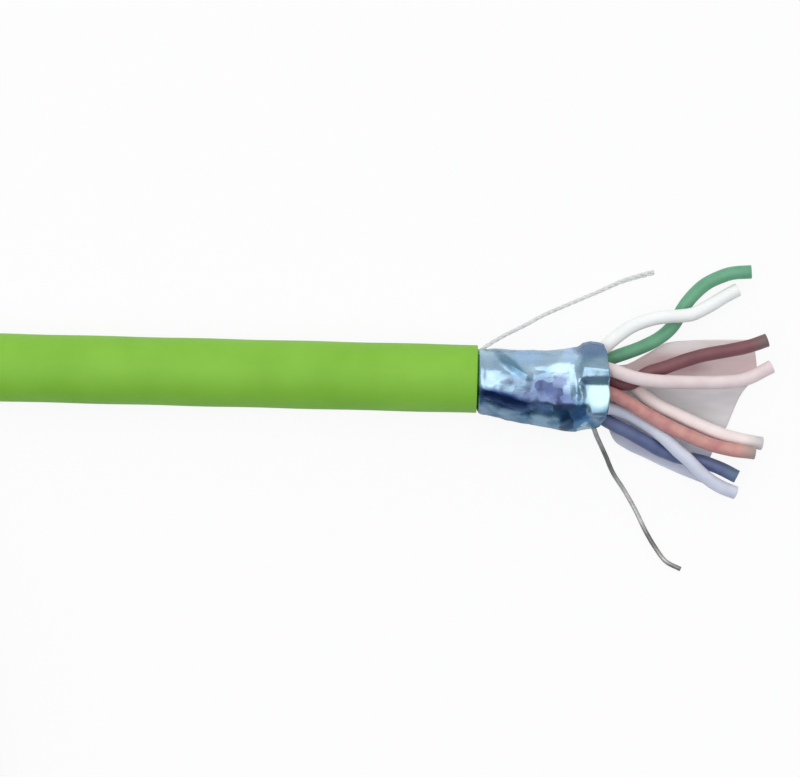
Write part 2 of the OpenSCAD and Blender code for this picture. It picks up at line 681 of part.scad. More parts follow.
module boot() {
    corner = 2;
    rib_step = boot_sleeve / boot_ribs;
    rib_len = 0.6 * rib_step;
    // The sleeve narrows from the head to the tip, with a groove after each rib.
    root_r = boot_h / 2 - 0.1;
    tip_r = jacket_d / 2 + fit + boot_groove + 0.3;
    function sleeve_r(s) = mix(root_r, tip_r, s / boot_sleeve);
    color([0.47, 0.68, 0.27]) at_plug()
    difference() {
        union() {
            block(-boot_head, -shell_t, boot_w - 2 * corner, -boot_h / 2, boot_h / 2);
            block(-boot_head, -shell_t, boot_w, corner - boot_h / 2, boot_h / 2 - corner);
            for (y = [-1, 1], z = [-1, 1])
                translate([-boot_head, y * (boot_w / 2 - corner), z * (boot_h / 2 - corner)])
                    rotate([0, 90, 0]) cylinder(h = boot_head - shell_t, r = corner);
            translate([-boot_head, 0, 0]) rotate([0, -90, 0]) rotate_extrude()
                polygon(concat(
                    [[0, 0]],
                    [for (i = [0:boot_ribs - 1]) let (s = i * rib_step) each [
                        [sleeve_r(s), s], [sleeve_r(s), s + rib_len],
                        [sleeve_r(s) - boot_groove, s + rib_len],
                        [sleeve_r(s) - boot_groove, s + rib_step],
                    ]],
                    [[0, boot_sleeve]]));
        }
        translate([-boot_len - 1, 0, 0]) rotate([0, 90, 0])
            cylinder(h = boot_len + 2, r = jacket_d / 2 + fit);
        translate([-collar_len - fit, 0, 0]) rotate([0, 90, 0])
            cylinder(h = collar_len + 1, r = jacket_d / 2 + 2 * fit + shell_t);
    }
}

// ---- the nodes --------------------------------------------------------------------

jacket();
ripcord();
foil_screen();
drain_wire();
film_wrap();
wire(GREEN_PAIR, 0);  // wire_green
wire(GREEN_PAIR, 1);  // wire_white_green
wire(BROWN_PAIR, 0);  // wire_brown
wire(BROWN_PAIR, 1);  // wire_white_brown
wire(ORANGE_PAIR, 0);  // wire_orange
wire(ORANGE_PAIR, 1);  // wire_white_orange
wire(BLUE_PAIR, 0);  // wire_blue
wire(BLUE_PAIR, 1);  // wire_white_blue
core(GREEN_PAIR, 0);  // core_green
core(GREEN_PAIR, 1);  // core_white_green
core(BROWN_PAIR, 0);  // core_brown
core(BROWN_PAIR, 1);  // core_white_brown
core(ORANGE_PAIR, 0);  // core_orange
core(ORANGE_PAIR, 1);  // core_white_orange
core(BLUE_PAIR, 0);  // core_blue
core(BLUE_PAIR, 1);  // core_white_blue
cable_run();
cable_coil();
plug_lead();
boot();
plug_housing();
plug_shell();
load_bar();
contact(1);  // contact_1
contact(2);  // contact_2
contact(3);  // contact_3
contact(4);  // contact_4
contact(5);  // contact_5
contact(6);  // contact_6
contact(7);  // contact_7
contact(8);  // contact_8
latch_lever();
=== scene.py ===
import bpy
import bmesh
import math
from mathutils import Matrix, Vector, noise


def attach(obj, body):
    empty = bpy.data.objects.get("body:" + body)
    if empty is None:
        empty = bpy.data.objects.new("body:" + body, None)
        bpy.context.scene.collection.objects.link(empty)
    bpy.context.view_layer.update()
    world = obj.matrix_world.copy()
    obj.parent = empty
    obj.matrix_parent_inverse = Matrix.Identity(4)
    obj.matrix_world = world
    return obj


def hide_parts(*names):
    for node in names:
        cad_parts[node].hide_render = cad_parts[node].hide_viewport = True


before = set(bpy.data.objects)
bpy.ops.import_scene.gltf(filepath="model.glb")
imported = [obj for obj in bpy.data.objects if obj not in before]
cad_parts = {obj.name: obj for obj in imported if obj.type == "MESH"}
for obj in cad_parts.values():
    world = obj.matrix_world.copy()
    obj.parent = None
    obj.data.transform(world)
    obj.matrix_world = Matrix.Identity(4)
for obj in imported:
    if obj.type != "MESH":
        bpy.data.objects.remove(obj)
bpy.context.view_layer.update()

# Lengths in this script are in millimetres until a point goes into a mesh.
MM = 0.001
TABLE = -3.6
JACKET_R = 3.6
LEAD = "lead"
LATCH = "latch"


def mix(a, b, t):
    return a + (b - a) * t


def clamp01(t):
    return max(0.0, min(1.0, t))


def ease(t):
    t = clamp01(t)
    return t * t * (3 - 2 * t)


def lookup(x, table, column=1):
    """Value of a column at x, between the rows of a table."""
    if x <= table[0][0]:
        return table[0][column]
    for low, high in zip(table, table[1:]):
        if x <= high[0]:
            return mix(low[column], high[column], (x - low[0]) / (high[0] - low[0]))
    return table[-1][column]


def curve_weights(t):
    """Shares of the start, its slope, the end and its slope at t on a smooth curve."""
    return 2 * t**3 - 3 * t**2 + 1, t**3 - 2 * t**2 + t, 3 * t**2 - 2 * t**3, t**3 - t**2


def smooth_lookup(x, table, column=1):
    """As lookup, but along one smooth curve through the rows."""
    if x <= table[0][0]:
        return table[0][column]
    if x >= table[-1][0]:
        return table[-1][column]
    i = max(j for j in range(len(table) - 1) if table[j][0] <= x)
    rows = [table[max(i - 1, 0)], table[i], table[i + 1], table[min(i + 2, len(table) - 1)]]
    x0, y0 = rows[1][0], rows[1][column]
    x1, y1 = rows[2][0], rows[2][column]
    slope0 = (y1 - rows[0][column]) / max(x1 - rows[0][0], 1e-9)
    slope1 = (rows[3][column] - y0) / max(rows[3][0] - x0, 1e-9)
    h = x1 - x0
    a, b, c, d = curve_weights((x - x0) / h)
    return a * y0 + b * h * slope0 + c * y1 + d * h * slope1


def select_only(*pieces):
    """Selects these pieces and no others; the first becomes the active one."""
    bpy.ops.object.select_all(action="DESELECT")
    for piece in reversed(pieces):
        piece.select_set(True)
        bpy.context.view_layer.objects.active = piece


# ---- camera ----

# It looks straight down, from far enough away for a nearly flat perspective.
CAMERA_AT = (-8.13, -1.20, 600.0)
VIEW_WIDTH = 84.7
VIEW_TURN = math.radians(1.4)
SENSOR_WIDTH = 36


def add_camera():
    bpy.ops.object.camera_add(
        location=[c * MM for c in CAMERA_AT], rotation=(0, 0, VIEW_TURN))
    camera = bpy.context.object
    camera.data.sensor_width = SENSOR_WIDTH
    camera.data.lens = SENSOR_WIDTH * CAMERA_AT[2] / VIEW_WIDTH
    camera.data.clip_start = 0.02
    camera.data.clip_end = 10
    bpy.context.scene.camera = camera


add_camera()
select_only()


# ---- shaping helpers ----

# Sharpest edge that is shaded smooth, in degrees, on laid grids and on the plug's pieces.
SMOOTH_GRID = 38
SMOOTH_PLUG = 32


def merge_and_smooth(piece, degrees):
    """Merges corners that meet, turns the faces outwards and shades shallow edges smooth."""
    select_only(piece)
    bpy.ops.object.mode_set(mode="EDIT")
    bpy.ops.mesh.select_all(action="SELECT")
    bpy.ops.mesh.remove_doubles(threshold=1e-7)
    bpy.ops.mesh.normals_make_consistent(inside=False)
    bpy.ops.object.mode_set(mode="OBJECT")
    bpy.ops.object.shade_smooth_by_angle(angle=math.radians(degrees))
    select_only()


def apply_modifier(piece, kind, **values):
    modifier = piece.modifiers.new(kind.lower(), kind)
    for key, value in values.items():
        setattr(modifier, key, value)
    select_only(piece)
    bpy.ops.object.modifier_apply(modifier=modifier.name)


def wrapped_grid(name, around, along, place, closed=True):
    """A grid primitive laid on a form. place(i, j) gives corner i of row j in millimetres."""
    bpy.ops.mesh.primitive_grid_add(x_subdivisions=around, y_subdivisions=along, size=1)
    piece = bpy.context.object
    piece.name = piece.data.name = name
    for corner in piece.data.vertices:
        i = round((corner.co.x + 0.5) * around)
        j = round((corner.co.y + 0.5) * along)
        corner.co = place(i % around if closed else i, j) * MM
    merge_and_smooth(piece, SMOOTH_GRID)
    return piece


def smooth_path(points, spacing):
    """Points on one smooth curve through the given points, about spacing apart."""
    points = [Vector(p) for p in points]
    ends = [2 * points[0] - points[1]] + points + [2 * points[-1] - points[-2]]
    path = [points[0]]
    for i in range(1, len(ends) - 2):
        p0, p1, p2, p3 = ends[i - 1:i + 3]
        d1, d2, d3 = [max((b - a).length, 1e-6) ** 0.5 for a, b in ((p0, p1), (p1, p2), (p2, p3))]
        m1 = (p1 - p0) / d1 - (p2 - p0) / (d1 + d2) + (p2 - p1) / d2
        m2 = (p2 - p1) / d2 - (p3 - p1) / (d2 + d3) + (p3 - p2) / d3
        m1, m2 = m1 * d2, m2 * d2
        steps = max(1, round((p2 - p1).length / spacing))
        for k in range(1, steps + 1):
            a, b, c, d = curve_weights(k / steps)
            path.append(a * p1 + b * m1 + c * p2 + d * m2)
    return path


def carried_frames(path):
    """At each point the heading and two directions across it, carried along without a twist."""
    frames = []
    across = None
    for i, point in enumerate(path):
        heading = (path[min(i + 1, len(path) - 1)] - path[max(i - 1, 0)]).normalized()
        if across is None:
            across = Vector((0, 0, 1)).cross(heading)
            if across.length < 1e-6:
                across = Vector((0, 1, 0))
        across = (across - heading * across.dot(heading)).normalized()
        frames.append((heading, across, heading.cross(across)))
    return frames


# How far in the middle of a rounded rim lies, as a share of its rounding.
RIM_SHARE = 0.3


def tube(name, path, radius, sides, bore=0.0, bore_depth=math.inf, rounding=0.06,
         start_rounding=None, swell=None):
    """A round tube along a path, with softly rounded ends. radius is a number or one for
    each point. A bore, where there is one, opens at the path's far end. swell(u, j) adds to
    the radius at share u of the way round point j."""
    if start_rounding is None:
        start_rounding = rounding
    count = len(path)
    frames = carried_frames(path)
    radii = list(radius) if hasattr(radius, "__len__") else [radius] * count
    rings = []

    def ring(j, shift, r, live=False):
        rings.append((path[j] + frames[j][0] * shift, frames[j], r, j, live))

    ring(0, 0, 0)
    ring(0, 0, radii[0] - start_rounding)
    ring(0, RIM_SHARE * start_rounding, radii[0] - RIM_SHARE * start_rounding)
    for j in range(count):
        inward = start_rounding if j == 0 else 0
        ring(j, -rounding if j == count - 1 else inward, radii[j], True)
    ring(count - 1, -RIM_SHARE * rounding, radii[-1] - RIM_SHARE * rounding)
    ring(count - 1, 0, radii[-1] - rounding)
    if bore:
        ring(count - 1, 0, bore)
        stop = max(j for j in range(count)
                   if j == 0 or (path[j] - path[-1]).length >= bore_depth)
        for j in range(count - 2, stop - 1, -1):
            ring(j, 0, bore)
        ring(stop, 0, 0)
    else:
        ring(count - 1, 0, 0)

    def place(i, j):
        centre, (_, across, up), r, at, live = rings[j]
        angle = math.tau * i / sides
        if live and swell:
            r += swell(i / sides, at)
        return centre + (across * math.cos(angle) + up * math.sin(angle)) * r

    return wrapped_grid(name, sides, len(rings) - 1, place)


# ---- the closed cable: straight run, coil and lead to the plug ----

RUN_START = Vector((-54, 0, 0))
RUN_X = (-64, -74, -84.5)
COIL_CENTRE_X = -92.5
COIL_R = 43.5
COIL_TURNS = 3.5
COIL_PITCH = 8.2
COIL_LAYER = 7.2
COIL_Z = TABLE + JACKET_R
COIL_END = 8
# Points to a turn, and the part of a turn in which the coil climbs to its upper layer.
COIL_POINTS = 24
COIL_CLIMB = 0.5
PLUG = Vector((-16, -84, 1.2))
# Distance past the coil, share of the way down that is left, shift aside.
LEAD_DOWN = [
    [0, 1, 0], [6, 0.94, 0.1], [12, 0.76, 0.6], [18, 0.52, 1.5], [24, 0.28, 2.4],
    [30, 0.09, 2.9], [36, 0, 3], [42, 0, 3],
]
CABLE_STEP = 1.6
CABLE_SIDES = 40


def coil_point(turn):
    radius = COIL_R - COIL_PITCH * min(turn, COIL_TURNS - turn)
    angle = math.radians(90 + 360 * turn)
    climb = ease((turn - COIL_TURNS / 2 + COIL_CLIMB / 2) / COIL_CLIMB)
    return Vector((COIL_CENTRE_X + radius * math.cos(angle), radius * math.sin(angle) - COIL_R,
                   COIL_Z + COIL_LAYER * climb))


def cable_path():
    points = [RUN_START] + [Vector((x, 0, 0)) for x in RUN_X]
    points += [coil_point(i / COIL_POINTS) for i in range(int(COIL_TURNS * COIL_POINTS) + 1)]
    end = coil_point(COIL_TURNS) + Vector((COIL_END, 0, 0))
    for past, share, aside in LEAD_DOWN:
        points.append(Vector((end.x + past, end.y + aside, mix(PLUG.z, end.z, share))))
    return smooth_path(points + [PLUG], CABLE_STEP)


CABLE = cable_path()
closed_cable = tube("closed_cable", CABLE, JACKET_R, CABLE_SIDES, start_rounding=0)
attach(closed_cable, LEAD)
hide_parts("cable_run", "cable_coil", "plug_lead")


# ---- finishes ----

def srgb(red, green, blue):
    """A colour as it is read off a screen, 0 to 255, for a shader's socket."""
    def level(c):
        c /= 255
        return c / 12.92 if c <= 0.04045 else ((c + 0.055) / 1.055) ** 2.4
    return (level(red), level(green), level(blue), 1.0)


def grey(level):
    return (level, level, level, 1)


class Nodes:
    """The nodes of a material or a world, with short ways to add to them."""

    def __init__(self, owner):
        owner.use_nodes = True
        self.nodes, self.links = owner.node_tree.nodes, owner.node_tree.links

    def feed(self, socket, value):
        """Gives a socket another node's output or a constant."""
        if hasattr(value, "is_linked"):
            self.links.new(value, socket)
        else:
            socket.default_value = value

    def feed_all(self, node, sockets):
        """Sockets are given by their places or names, with underscores for spaces."""
        for key, value in sockets.items():
            self.feed(node.inputs[key if isinstance(key, int) else key.replace("_", " ")], value)

    def add(self, kind, **sockets):
        node = self.nodes.new("ShaderNode" + kind)
        self.feed_all(node, sockets)
        return node

    def map_range(self, value, **limits):
        return self.add("MapRange", Value=value, **limits).outputs["Result"]

    def product(self, first, second):
        node = self.add("Math")
        node.operation = "MULTIPLY"
        self.feed_all(node, {0: first, 1: second})
        return node.outputs[0]

    def ramp(self, value, stops):
        ramp = self.add("ValToRGB", Fac=value)
        elements = ramp.color_ramp.elements
        elements[0].position, elements[0].color = stops[0]
        elements[1].position, elements[1].color = stops[-1]
        for position, colour in stops[1:-1]:
            elements.new(position).color = colour
        return ramp.outputs["Color"]

    def mixed_shader(self, factor, first, second):
        node = self.add("MixShader")
        self.feed_all(node, {"Fac": factor, 1: first.outputs[0], 2: second.outputs[0]})
        return node.outputs[0]


class Finish(Nodes):
    """A material with a Principled shader and the few nodes that its surface needs."""

    def __init__(self, name, **sockets):
        self.material = bpy.data.materials.new(name)
        super().__init__(self.material)
        self.shader = self.nodes["Principled BSDF"]
        self.feed_all(self.shader, sockets)
        self.place = self.add("TexCoord").outputs

    def noise(self, size, detail=3.0, stretch=(1, 1, 1)):
        """Noise whose features are about size millimetres across."""
        mapping = self.add("Mapping", Vector=self.place["Object"],
                           Scale=[s / (size * MM) for s in stretch])
        texture = self.add("TexNoise", Vector=mapping.outputs["Vector"], Scale=1.0, Detail=detail)
        return texture.outputs["Fac"]

    def coordinate(self, kind, axis):
        return self.add("SeparateXYZ", Vector=self.place[kind]).outputs[axis]

    def span(self, axis, start, end):
        """0 at start and 1 at end, in millimetres along an axis."""
        return self.map_range(self.coordinate("Object", axis), From_Min=start * MM,
                              From_Max=end * MM)

    def facets(self, size, share):
        """Coordinates drawn by share to the middles of cells about size millimetres wide."""
        cells = self.add("TexVoronoi", Vector=self.place["Object"], Scale=1 / (size * MM))
        drawn = self.add("Mix")
        drawn.data_type = "VECTOR"
        self.feed_all(drawn, {0: share, 4: self.place["Object"], 5: cells.outputs["Position"]})
        return drawn.outputs[1]

    def patch(self, where, centre, reach, turn=0.0):
        """1 at the centre, falling to 0 at its reach along and across; turn in degrees."""
        mapping = self.add("Mapping")
        mapping.vector_type = "TEXTURE"
        self.feed_all(mapping, {
            "Vector": where, "Location": [c * MM for c in centre] + [0],
            "Rotation": (0, 0, math.radians(turn)), "Scale": [r * MM for r in reach] + [1]})
        ball = self.add("TexGradient", Vector=mapping.outputs["Vector"])
        ball.gradient_type = "SPHERICAL"
        return self.ramp(ball.outputs["Fac"], [(0.0, grey(0)), (0.45, grey(1))])

    def blend(self, factor, first, second, kind="MIX"):
        node = self.add("Mix")
        node.data_type = "RGBA"
        node.blend_type = kind
        self.feed_all(node, {"Factor": factor, 6: first, 7: second})
        return node.outputs[2]

    def colour(self, value):
        self.feed(self.shader.inputs["Base Color"], value)

    def roughness(self, value, low, high):
        self.feed(self.shader.inputs["Roughness"], self.map_range(value, To_Min=low, To_Max=high))

    def bump(self, *layers):
        """Each layer is (height output, depth in millimetres)."""
        normal = None
        for height, depth in layers:
            node = self.add("Bump", Distance=depth * MM, Height=height)
            if normal is not None:
                self.feed(node.inputs["Normal"], normal)
            normal = node.outputs["Normal"]
        self.feed(self.shader.inputs["Normal"], normal)


def jacket_finish(name, light, deep, roughness):
    """Extruded PVC: cloudy colour, a fine grain and a faint unevenness."""
    finish = Finish(name, Specular_IOR_Level=0.3, Subsurface_Weight=0.06,
                    Subsurface_Radius=(0.8, 1.0, 0.35), Subsurface_Scale=0.0006)
    finish.colour(finish.ramp(finish.noise(6.0, 4.0), [(0.35, light), (0.68, deep)]))
    finish.roughness(finish.noise(0.9, 4.0), roughness - 0.07, roughness + 0.09)
    finish.bump((finish.noise(0.16), 0.012), (finish.noise(1.6, 2.0), 0.03))
    return finish.material


def insulation_finish(name, light, deep, stripe=None, handled=None):
    """Polyethylene over a conductor: soft satin, with a fine coloured line where it has one.

    Handled is the tone at its cut end and the distance of that end from the jacket's cut.
    """
    finish = Finish(name, Specular_IOR_Level=0.45)
    colour = finish.ramp(finish.noise(1.8), [(0.32, srgb(*light)), (0.70, srgb(*deep))])
    if stripe:
        line = finish.ramp(finish.coordinate("UV", "X"), [
            (0.0, grey(0)), (0.44, grey(0)), (0.465, grey(0.8)),
            (0.535, grey(0.8)), (0.56, grey(0)), (1.0, grey(0))])
        worn = finish.ramp(finish.noise(0.7), [(0.30, grey(0.55)), (0.6, grey(1))])
        colour = finish.blend(finish.blend(1.0, line, worn, "MULTIPLY"), colour, srgb(*stripe))
    if handled:
        tone, end = handled
        colour = finish.blend(finish.span("X", end - 1.9, end - 0.3), colour, srgb(*tone))
    finish.colour(colour)
    finish.roughness(finish.noise(0.5), 0.34, 0.50)
    finish.bump((finish.noise(0.10, 2.0), 0.004), (finish.noise(0.7, 2.0), 0.012))
    return finish.material


# Stretches of the drain wire darkened with painted shade: Y in millimetres and share.
PAINTED_SHADE_STRETCHES = [
    (-6.6, 0.3), (-7.6, 0.72), (-9.4, 0.7), (-10.3, 0.2), (-11.1, 0.0), (-14.6, 0.0),
    (-15.3, 0.3), (-16.1, 0.82), (-17.1, 0.78), (-17.8, 0.55), (-18.7, 0.15), (-19.4, 0.7),
]


def drawn_metal(name, light, deep, roughness, shade_tone=None, stretches=None):
    """Bare drawn wire: a fine grain and a little tarnish, with painted shade in stretches."""
    finish = Finish(name, Metallic=1.0)
    metal = finish.ramp(finish.noise(0.5, 4.0), [(0.35, light), (0.72, deep)])
    if stretches:
        start, end = stretches[0][0], stretches[-1][0]
        stops = [((y - start) / (end - start), grey(share)) for y, share in stretches]
        # Painted shade: the wire is darkened towards the shade tone in the given stretches.
        metal = finish.blend(finish.ramp(finish.span("Y", start, end), stops), metal, shade_tone)
    finish.colour(metal)
    finish.roughness(finish.noise(0.25), roughness - 0.06, roughness + 0.12)
    finish.bump((finish.noise(0.05, 2.0), 0.003), (finish.noise(0.6, 2.0), 0.01))
    return finish.material


# Patches of painted reflection, highlights and dark ones: centre, reach along and across, turn in
# degrees and tone; soft-edged ones, and ones on sharp facets.
FOIL_SOFT_PAINTED_REFLECTIONS = [
    ((3.0, -2.1), (4.2, 1.0), -17, (40, 62, 108)),
    ((3.5, 1.6), (2.6, 0.7), -40, (108, 146, 172)),
    ((12.0, 3.5), (2.2, 1.1), 0, (112, 138, 172)),
    ((12.9, -1.3), (1.7, 2.0), 0, (184, 214, 214)),
]
FOIL_FACET_PAINTED_REFLECTIONS = [
    ((7.8, -1.2), (3.1, 1.45), -30, (86, 98, 136)),
    ((6.1, -2.0), (2.8, 1.15), -15, (106, 122, 156)),
    ((9.5, -2.1), (0.9, 0.9), 0, (112, 128, 170)),
    ((6.7, -4.1), (1.0, 1.5), 20, (136, 170, 192)),
    ((6.7, -2.8), (1.7, 0.7), -12, (140, 172, 214)),
    ((9.8, 2.6), (1.2, 1.3), 0, (190, 220, 250)),
    ((5.2, 2.5), (1.9, 1.0), 0, (170, 204, 238)),
    ((8.8, 0.0), (1.2, 0.8), -20, (128, 142, 176)),
    ((4.0, 0.1), (1.4, 0.8), 0, (140, 164, 188)),
    ((11.2, -0.9), (0.8, 1.0), 0, (120, 150, 172)),
    ((9.5, -4.6), (0.8, 1.9), 0, (50, 80, 110)),
    ((11.0, -3.7), (1.1, 1.1), 0, (84, 130, 178)),
    ((11.4, -5.1), (1.0, 0.8), 30, (160, 190, 208)),
]


def foil_finish():
    """Aluminium foil behind a blue-tinted film, with painted reflections: a darker lower side and
    collar, and patches of painted highlight and shade.
    """
    finish = Finish("foil", Metallic=1.0)
    clouds = finish.noise(2.6)
    bright = finish.ramp(clouds, [
        (0.30, srgb(146, 180, 206)), (0.52, srgb(170, 198, 219)), (0.74, srgb(190, 222, 236))])
    deep = finish.ramp(clouds, [
        (0.34, srgb(52, 90, 124)), (0.50, srgb(88, 126, 156)), (0.68, srgb(138, 164, 190))])
    collar = finish.ramp(clouds, [
        (0.32, srgb(104, 138, 162)), (0.52, srgb(128, 160, 182)), (0.72, srgb(160, 190, 208))])
    # Painted reflection: the collar and the lower side are painted darker, the upper side lighter.
    on_collar = finish.product(finish.span("X", 9.9, 10.8), finish.span("Y", 0.2, 1.0))
    upper = finish.blend(on_collar, bright, collar)
    body = finish.blend(finish.span("Y", -1.2, -2.6), upper, deep)
    # Patches of painted reflection, light and dark, laid over the colour.
    facet_place = finish.facets(0.8, 0.5)
    for where, marks in ((facet_place, FOIL_FACET_PAINTED_REFLECTIONS), (finish.place["Object"], FOIL_SOFT_PAINTED_REFLECTIONS)):
        for centre, reach, turn, tone in marks:
            body = finish.blend(finish.patch(where, centre, reach, turn), body, srgb(*tone))
    finish.colour(body)
    finish.roughness(finish.noise(0.9, 4.0), 0.20, 0.34)
    finish.bump((finish.noise(0.22), 0.006), (finish.noise(0.9), 0.02))
    return finish.material


def film_finish():
    """Thin translucent film, grey, pink and lilac in turn, with soft pulled streaks and a painted
    shadow beside the brown wire.
    """
    finish = Finish("film", Specular_IOR_Level=0.5, Alpha=0.72)
    streaks = finish.noise(2.2, 4.0, stretch=(0.35, 1, 1))
    plain, pink, lilac = [
        finish.ramp(streaks, [(0.32, srgb(*deep)), (0.70, srgb(*light))]) for deep, light in (
            ((206, 201, 203), (234, 229, 231)), ((236, 204, 204), (250, 225, 224)),
            ((212, 217, 238), (232, 236, 250)))]
    # Painted shadow of the brown wire: a deeper pink on the film beside it.
    brown_wire_shadow = finish.patch(finish.place["Object"], (20.4, 1.3), (5.0, 1.9), 8)
    pink = finish.blend(brown_wire_shadow, pink, srgb(212, 168, 170))
    pink = finish.blend(finish.span("Y", 2.7, 4.0), pink, srgb(253, 242, 243))
    tinted = finish.blend(finish.span("Y", -0.2, 1.6), plain, pink)
    finish.colour(finish.blend(finish.span("Y", -4.0, -6.5), tinted, lilac))
    finish.roughness(finish.noise(1.2), 0.28, 0.5)
    finish.bump((finish.noise(1.0, stretch=(0.4, 1, 1)), 0.05), (finish.noise(0.3, 2.0), 0.01))
    return finish.material


def thread_finish():
    finish = Finish("thread", Roughness=0.8, Sheen_Weight=0.25)
    finish.colour(finish.ramp(finish.noise(0.4), [
        (0.3, srgb(214, 214, 213)), (0.7, srgb(230, 230, 228))]))
    finish.bump((finish.noise(0.06, 2.0, stretch=(0.3, 1, 1)), 0.01))
    return finish.material


def clear_finish(name, tint):
    """Clear moulded polycarbonate with faint flow marks."""
    finish = Finish(name, Roughness=0.08, IOR=1.58, Transmission_Weight=0.92)
    finish.colour(finish.ramp(finish.noise(5.0, 2.0), [(0.3, tint), (0.7, srgb(244, 248, 248))]))
    finish.roughness(finish.noise(2.0), 0.05, 0.14)
    finish.bump((finish.noise(3.0, 2.0), 0.02))
    return finish.material


def plated_finish(name, light, deep, roughness):
    """Plated sheet metal with the faint grain of rolling."""
    rolled = (0.12, 1, 1)
    finish = Finish(name, Metallic=1.0)
    finish.colour(finish.ramp(finish.noise(2.5), [(0.35, light), (0.7, deep)]))
    finish.roughness(finish.noise(0.5, stretch=rolled), roughness - 0.07, roughness + 0.1)
    finish.bump((finish.noise(0.14, stretch=rolled), 0.004), (finish.noise(2.0, 2.0), 0.012))
    return finish.material


def moulded_finish(name, light, deep, roughness):
    finish = Finish(name, Specular_IOR_Level=0.4)
    finish.colour(finish.ramp(finish.noise(3.5), [(0.35, light), (0.7, deep)]))
    finish.roughness(finish.noise(0.4), roughness - 0.06, roughness + 0.08)
    finish.bump((finish.noise(0.12, 2.0), 0.008), (finish.noise(2.5, 2.0), 0.02))
    return finish.material


JACKET_PVC = jacket_finish("jacket_pvc", srgb(138, 198, 64), srgb(130, 190, 56), 0.50)
FOIL = foil_finish()
FILM = film_finish()
THREAD = thread_finish()
TINNED = drawn_metal("tinned_copper", srgb(214, 214, 210), srgb(186, 184, 180), 0.44,
                     srgb(104, 104, 102), PAINTED_SHADE_STRETCHES)
COPPER = drawn_metal("copper", srgb(226, 150, 108), srgb(188, 112, 74), 0.3)
CLEAR = clear_finish("clear_polycarbonate", srgb(226, 236, 236))
NICKEL = plated_finish("nickel_plate", srgb(206, 206, 204), srgb(178, 178, 176), 0.3)
GOLD = plated_finish("gold_plate", srgb(240, 200, 110), srgb(220, 172, 82), 0.22)
BOOT_PVC = moulded_finish("boot_pvc", srgb(128, 186, 66), srgb(118, 174, 58), 0.52)
NYLON = moulded_finish("white_nylon", srgb(238, 238, 232), srgb(226, 226, 220), 0.45)
# Light and deep tone, stripe, and the cut end's tone with its distance from the jacket's cut.
INSULATION_TONES = {
    "green": ((110, 175, 138), (98, 161, 126)),
    "white_green": ((253, 255, 253), (248, 252, 249), (190, 228, 204)),
    "brown": ((134, 84, 90), (120, 76, 82), None, ((122, 100, 100), 30.7)),
    "white_brown": ((240, 224, 224), (232, 212, 212), (206, 168, 168)),
    "orange": ((220, 166, 153), (197, 132, 133), None, ((172, 154, 146), 29.7)),
    "white_orange": ((255, 244, 242), (249, 232, 229), (242, 198, 188),
                     ((214, 208, 208), 30.5)),
    "blue": ((101, 114, 154), (85, 98, 137), None, ((94, 116, 144), 27.9)),
    "white_blue": ((222, 226, 240), (208, 213, 230), (166, 174, 208)),
}
INSULATION = {colour: insulation_finish("insulation_" + colour, *tones)
              for colour, tones in INSULATION_TONES.items()}


def dress(piece, material, body=LEAD):
    piece.data.materials.clear()
    piece.data.materials.append(material)
    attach(piece, body)


dress(closed_cable, JACKET_PVC)


# ---- jacket ----

BORE_R = 3.15
OPEN_LEN = 18
JACKET_STEP = 0.5
HOLLOW_DEPTH = 0.02


def jacket_swell(u, j):
    """The pairs inside press faint long hollows into the jacket."""
    return HOLLOW_DEPTH * ease(j / 12) * math.sin(math.tau * (2 * u + 0.045 * j))


jacket_path = [RUN_START + Vector((JACKET_STEP * i, 0, 0))
               for i in range(round(-RUN_START.x / JACKET_STEP) + 1)]
jacket = tube("jacket_cut_end", jacket_path, JACKET_R, 96, bore=BORE_R, bore_depth=OPEN_LEN,
              rounding=0.10, start_rounding=0, swell=jacket_swell)
dress(jacket, JACKET_PVC)
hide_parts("jacket")


# ---- foil ----

FOIL_R = 3.12
FOIL_T = 0.05
# Distance from the cut, reach to +Y, to -Y and upwards.
FLARE = [
    [0.0, 3.12, 3.12, 3.12], [0.2, 3.24, 3.60, 3.56], [0.6, 3.30, 3.80, 3.70],
    [1.6, 3.35, 4.05, 3.75], [3.2, 3.25, 4.45, 3.75], [4.8, 3.25, 4.70, 3.75],
    [6.4, 3.30, 4.90, 3.75], [8.0, 3.45, 5.10, 3.80], [9.4, 3.60, 5.30, 3.85],
    [10.5, 3.75, 5.35, 3.90], [11.1, 4.20, 5.20, 4.15], [11.9, 4.40, 5.10, 4.20],
    [15.0, 4.30, 5.00, 4.20],
]
# Reach downwards, which the table limits.
FLARE_DOWN = [[0, FOIL_R], [0.6, 3.55]]
# Torn rim: angle round the axis, distance from the cut.
RIM = [
    [0, 12.7], [15, 13.2], [30, 13.5], [45, 13.7], [60, 13.8], [75, 13.9], [90, 13.9],
    [105, 14.0], [120, 14.0], [135, 13.8], [150, 13.4], [165, 13.0], [180, 12.0],
    [195, 12.2], [210, 12.5], [225, 12.6], [240, 12.7], [255, 12.8], [270, 12.9],
    [285, 12.9], [300, 12.9], [315, 12.9], [330, 12.9], [345, 12.8], [360, 12.7],
]


def facet_height(point, cell, seed):
    """Flat-faced crumple: random heights at the corners of cells, joined by flat facets."""
    q = point / cell
    base = [math.floor(c) for c in q]
    part = [c - b for c, b in zip(q, base)]
    order = sorted(range(3), key=lambda axis: -part[axis])

    def corner(at):
        mixed = (at[0] * 73856093) ^ (at[1] * 19349663) ^ (at[2] * 83492791) ^ (seed * 2654435761)
        mixed = (mixed ^ (mixed >> 13)) * 1274126177
        return ((mixed ^ (mixed >> 16)) & 0xFFFF) / 32767.5 - 1

    at = list(base)
    height = (1 - part[order[0]]) * corner(at)
    for n, axis in enumerate(order):
        at[axis] += 1
        weight = part[axis] - (part[order[n + 1]] if n < 2 else 0)
        height += weight * corner(at)
    return height


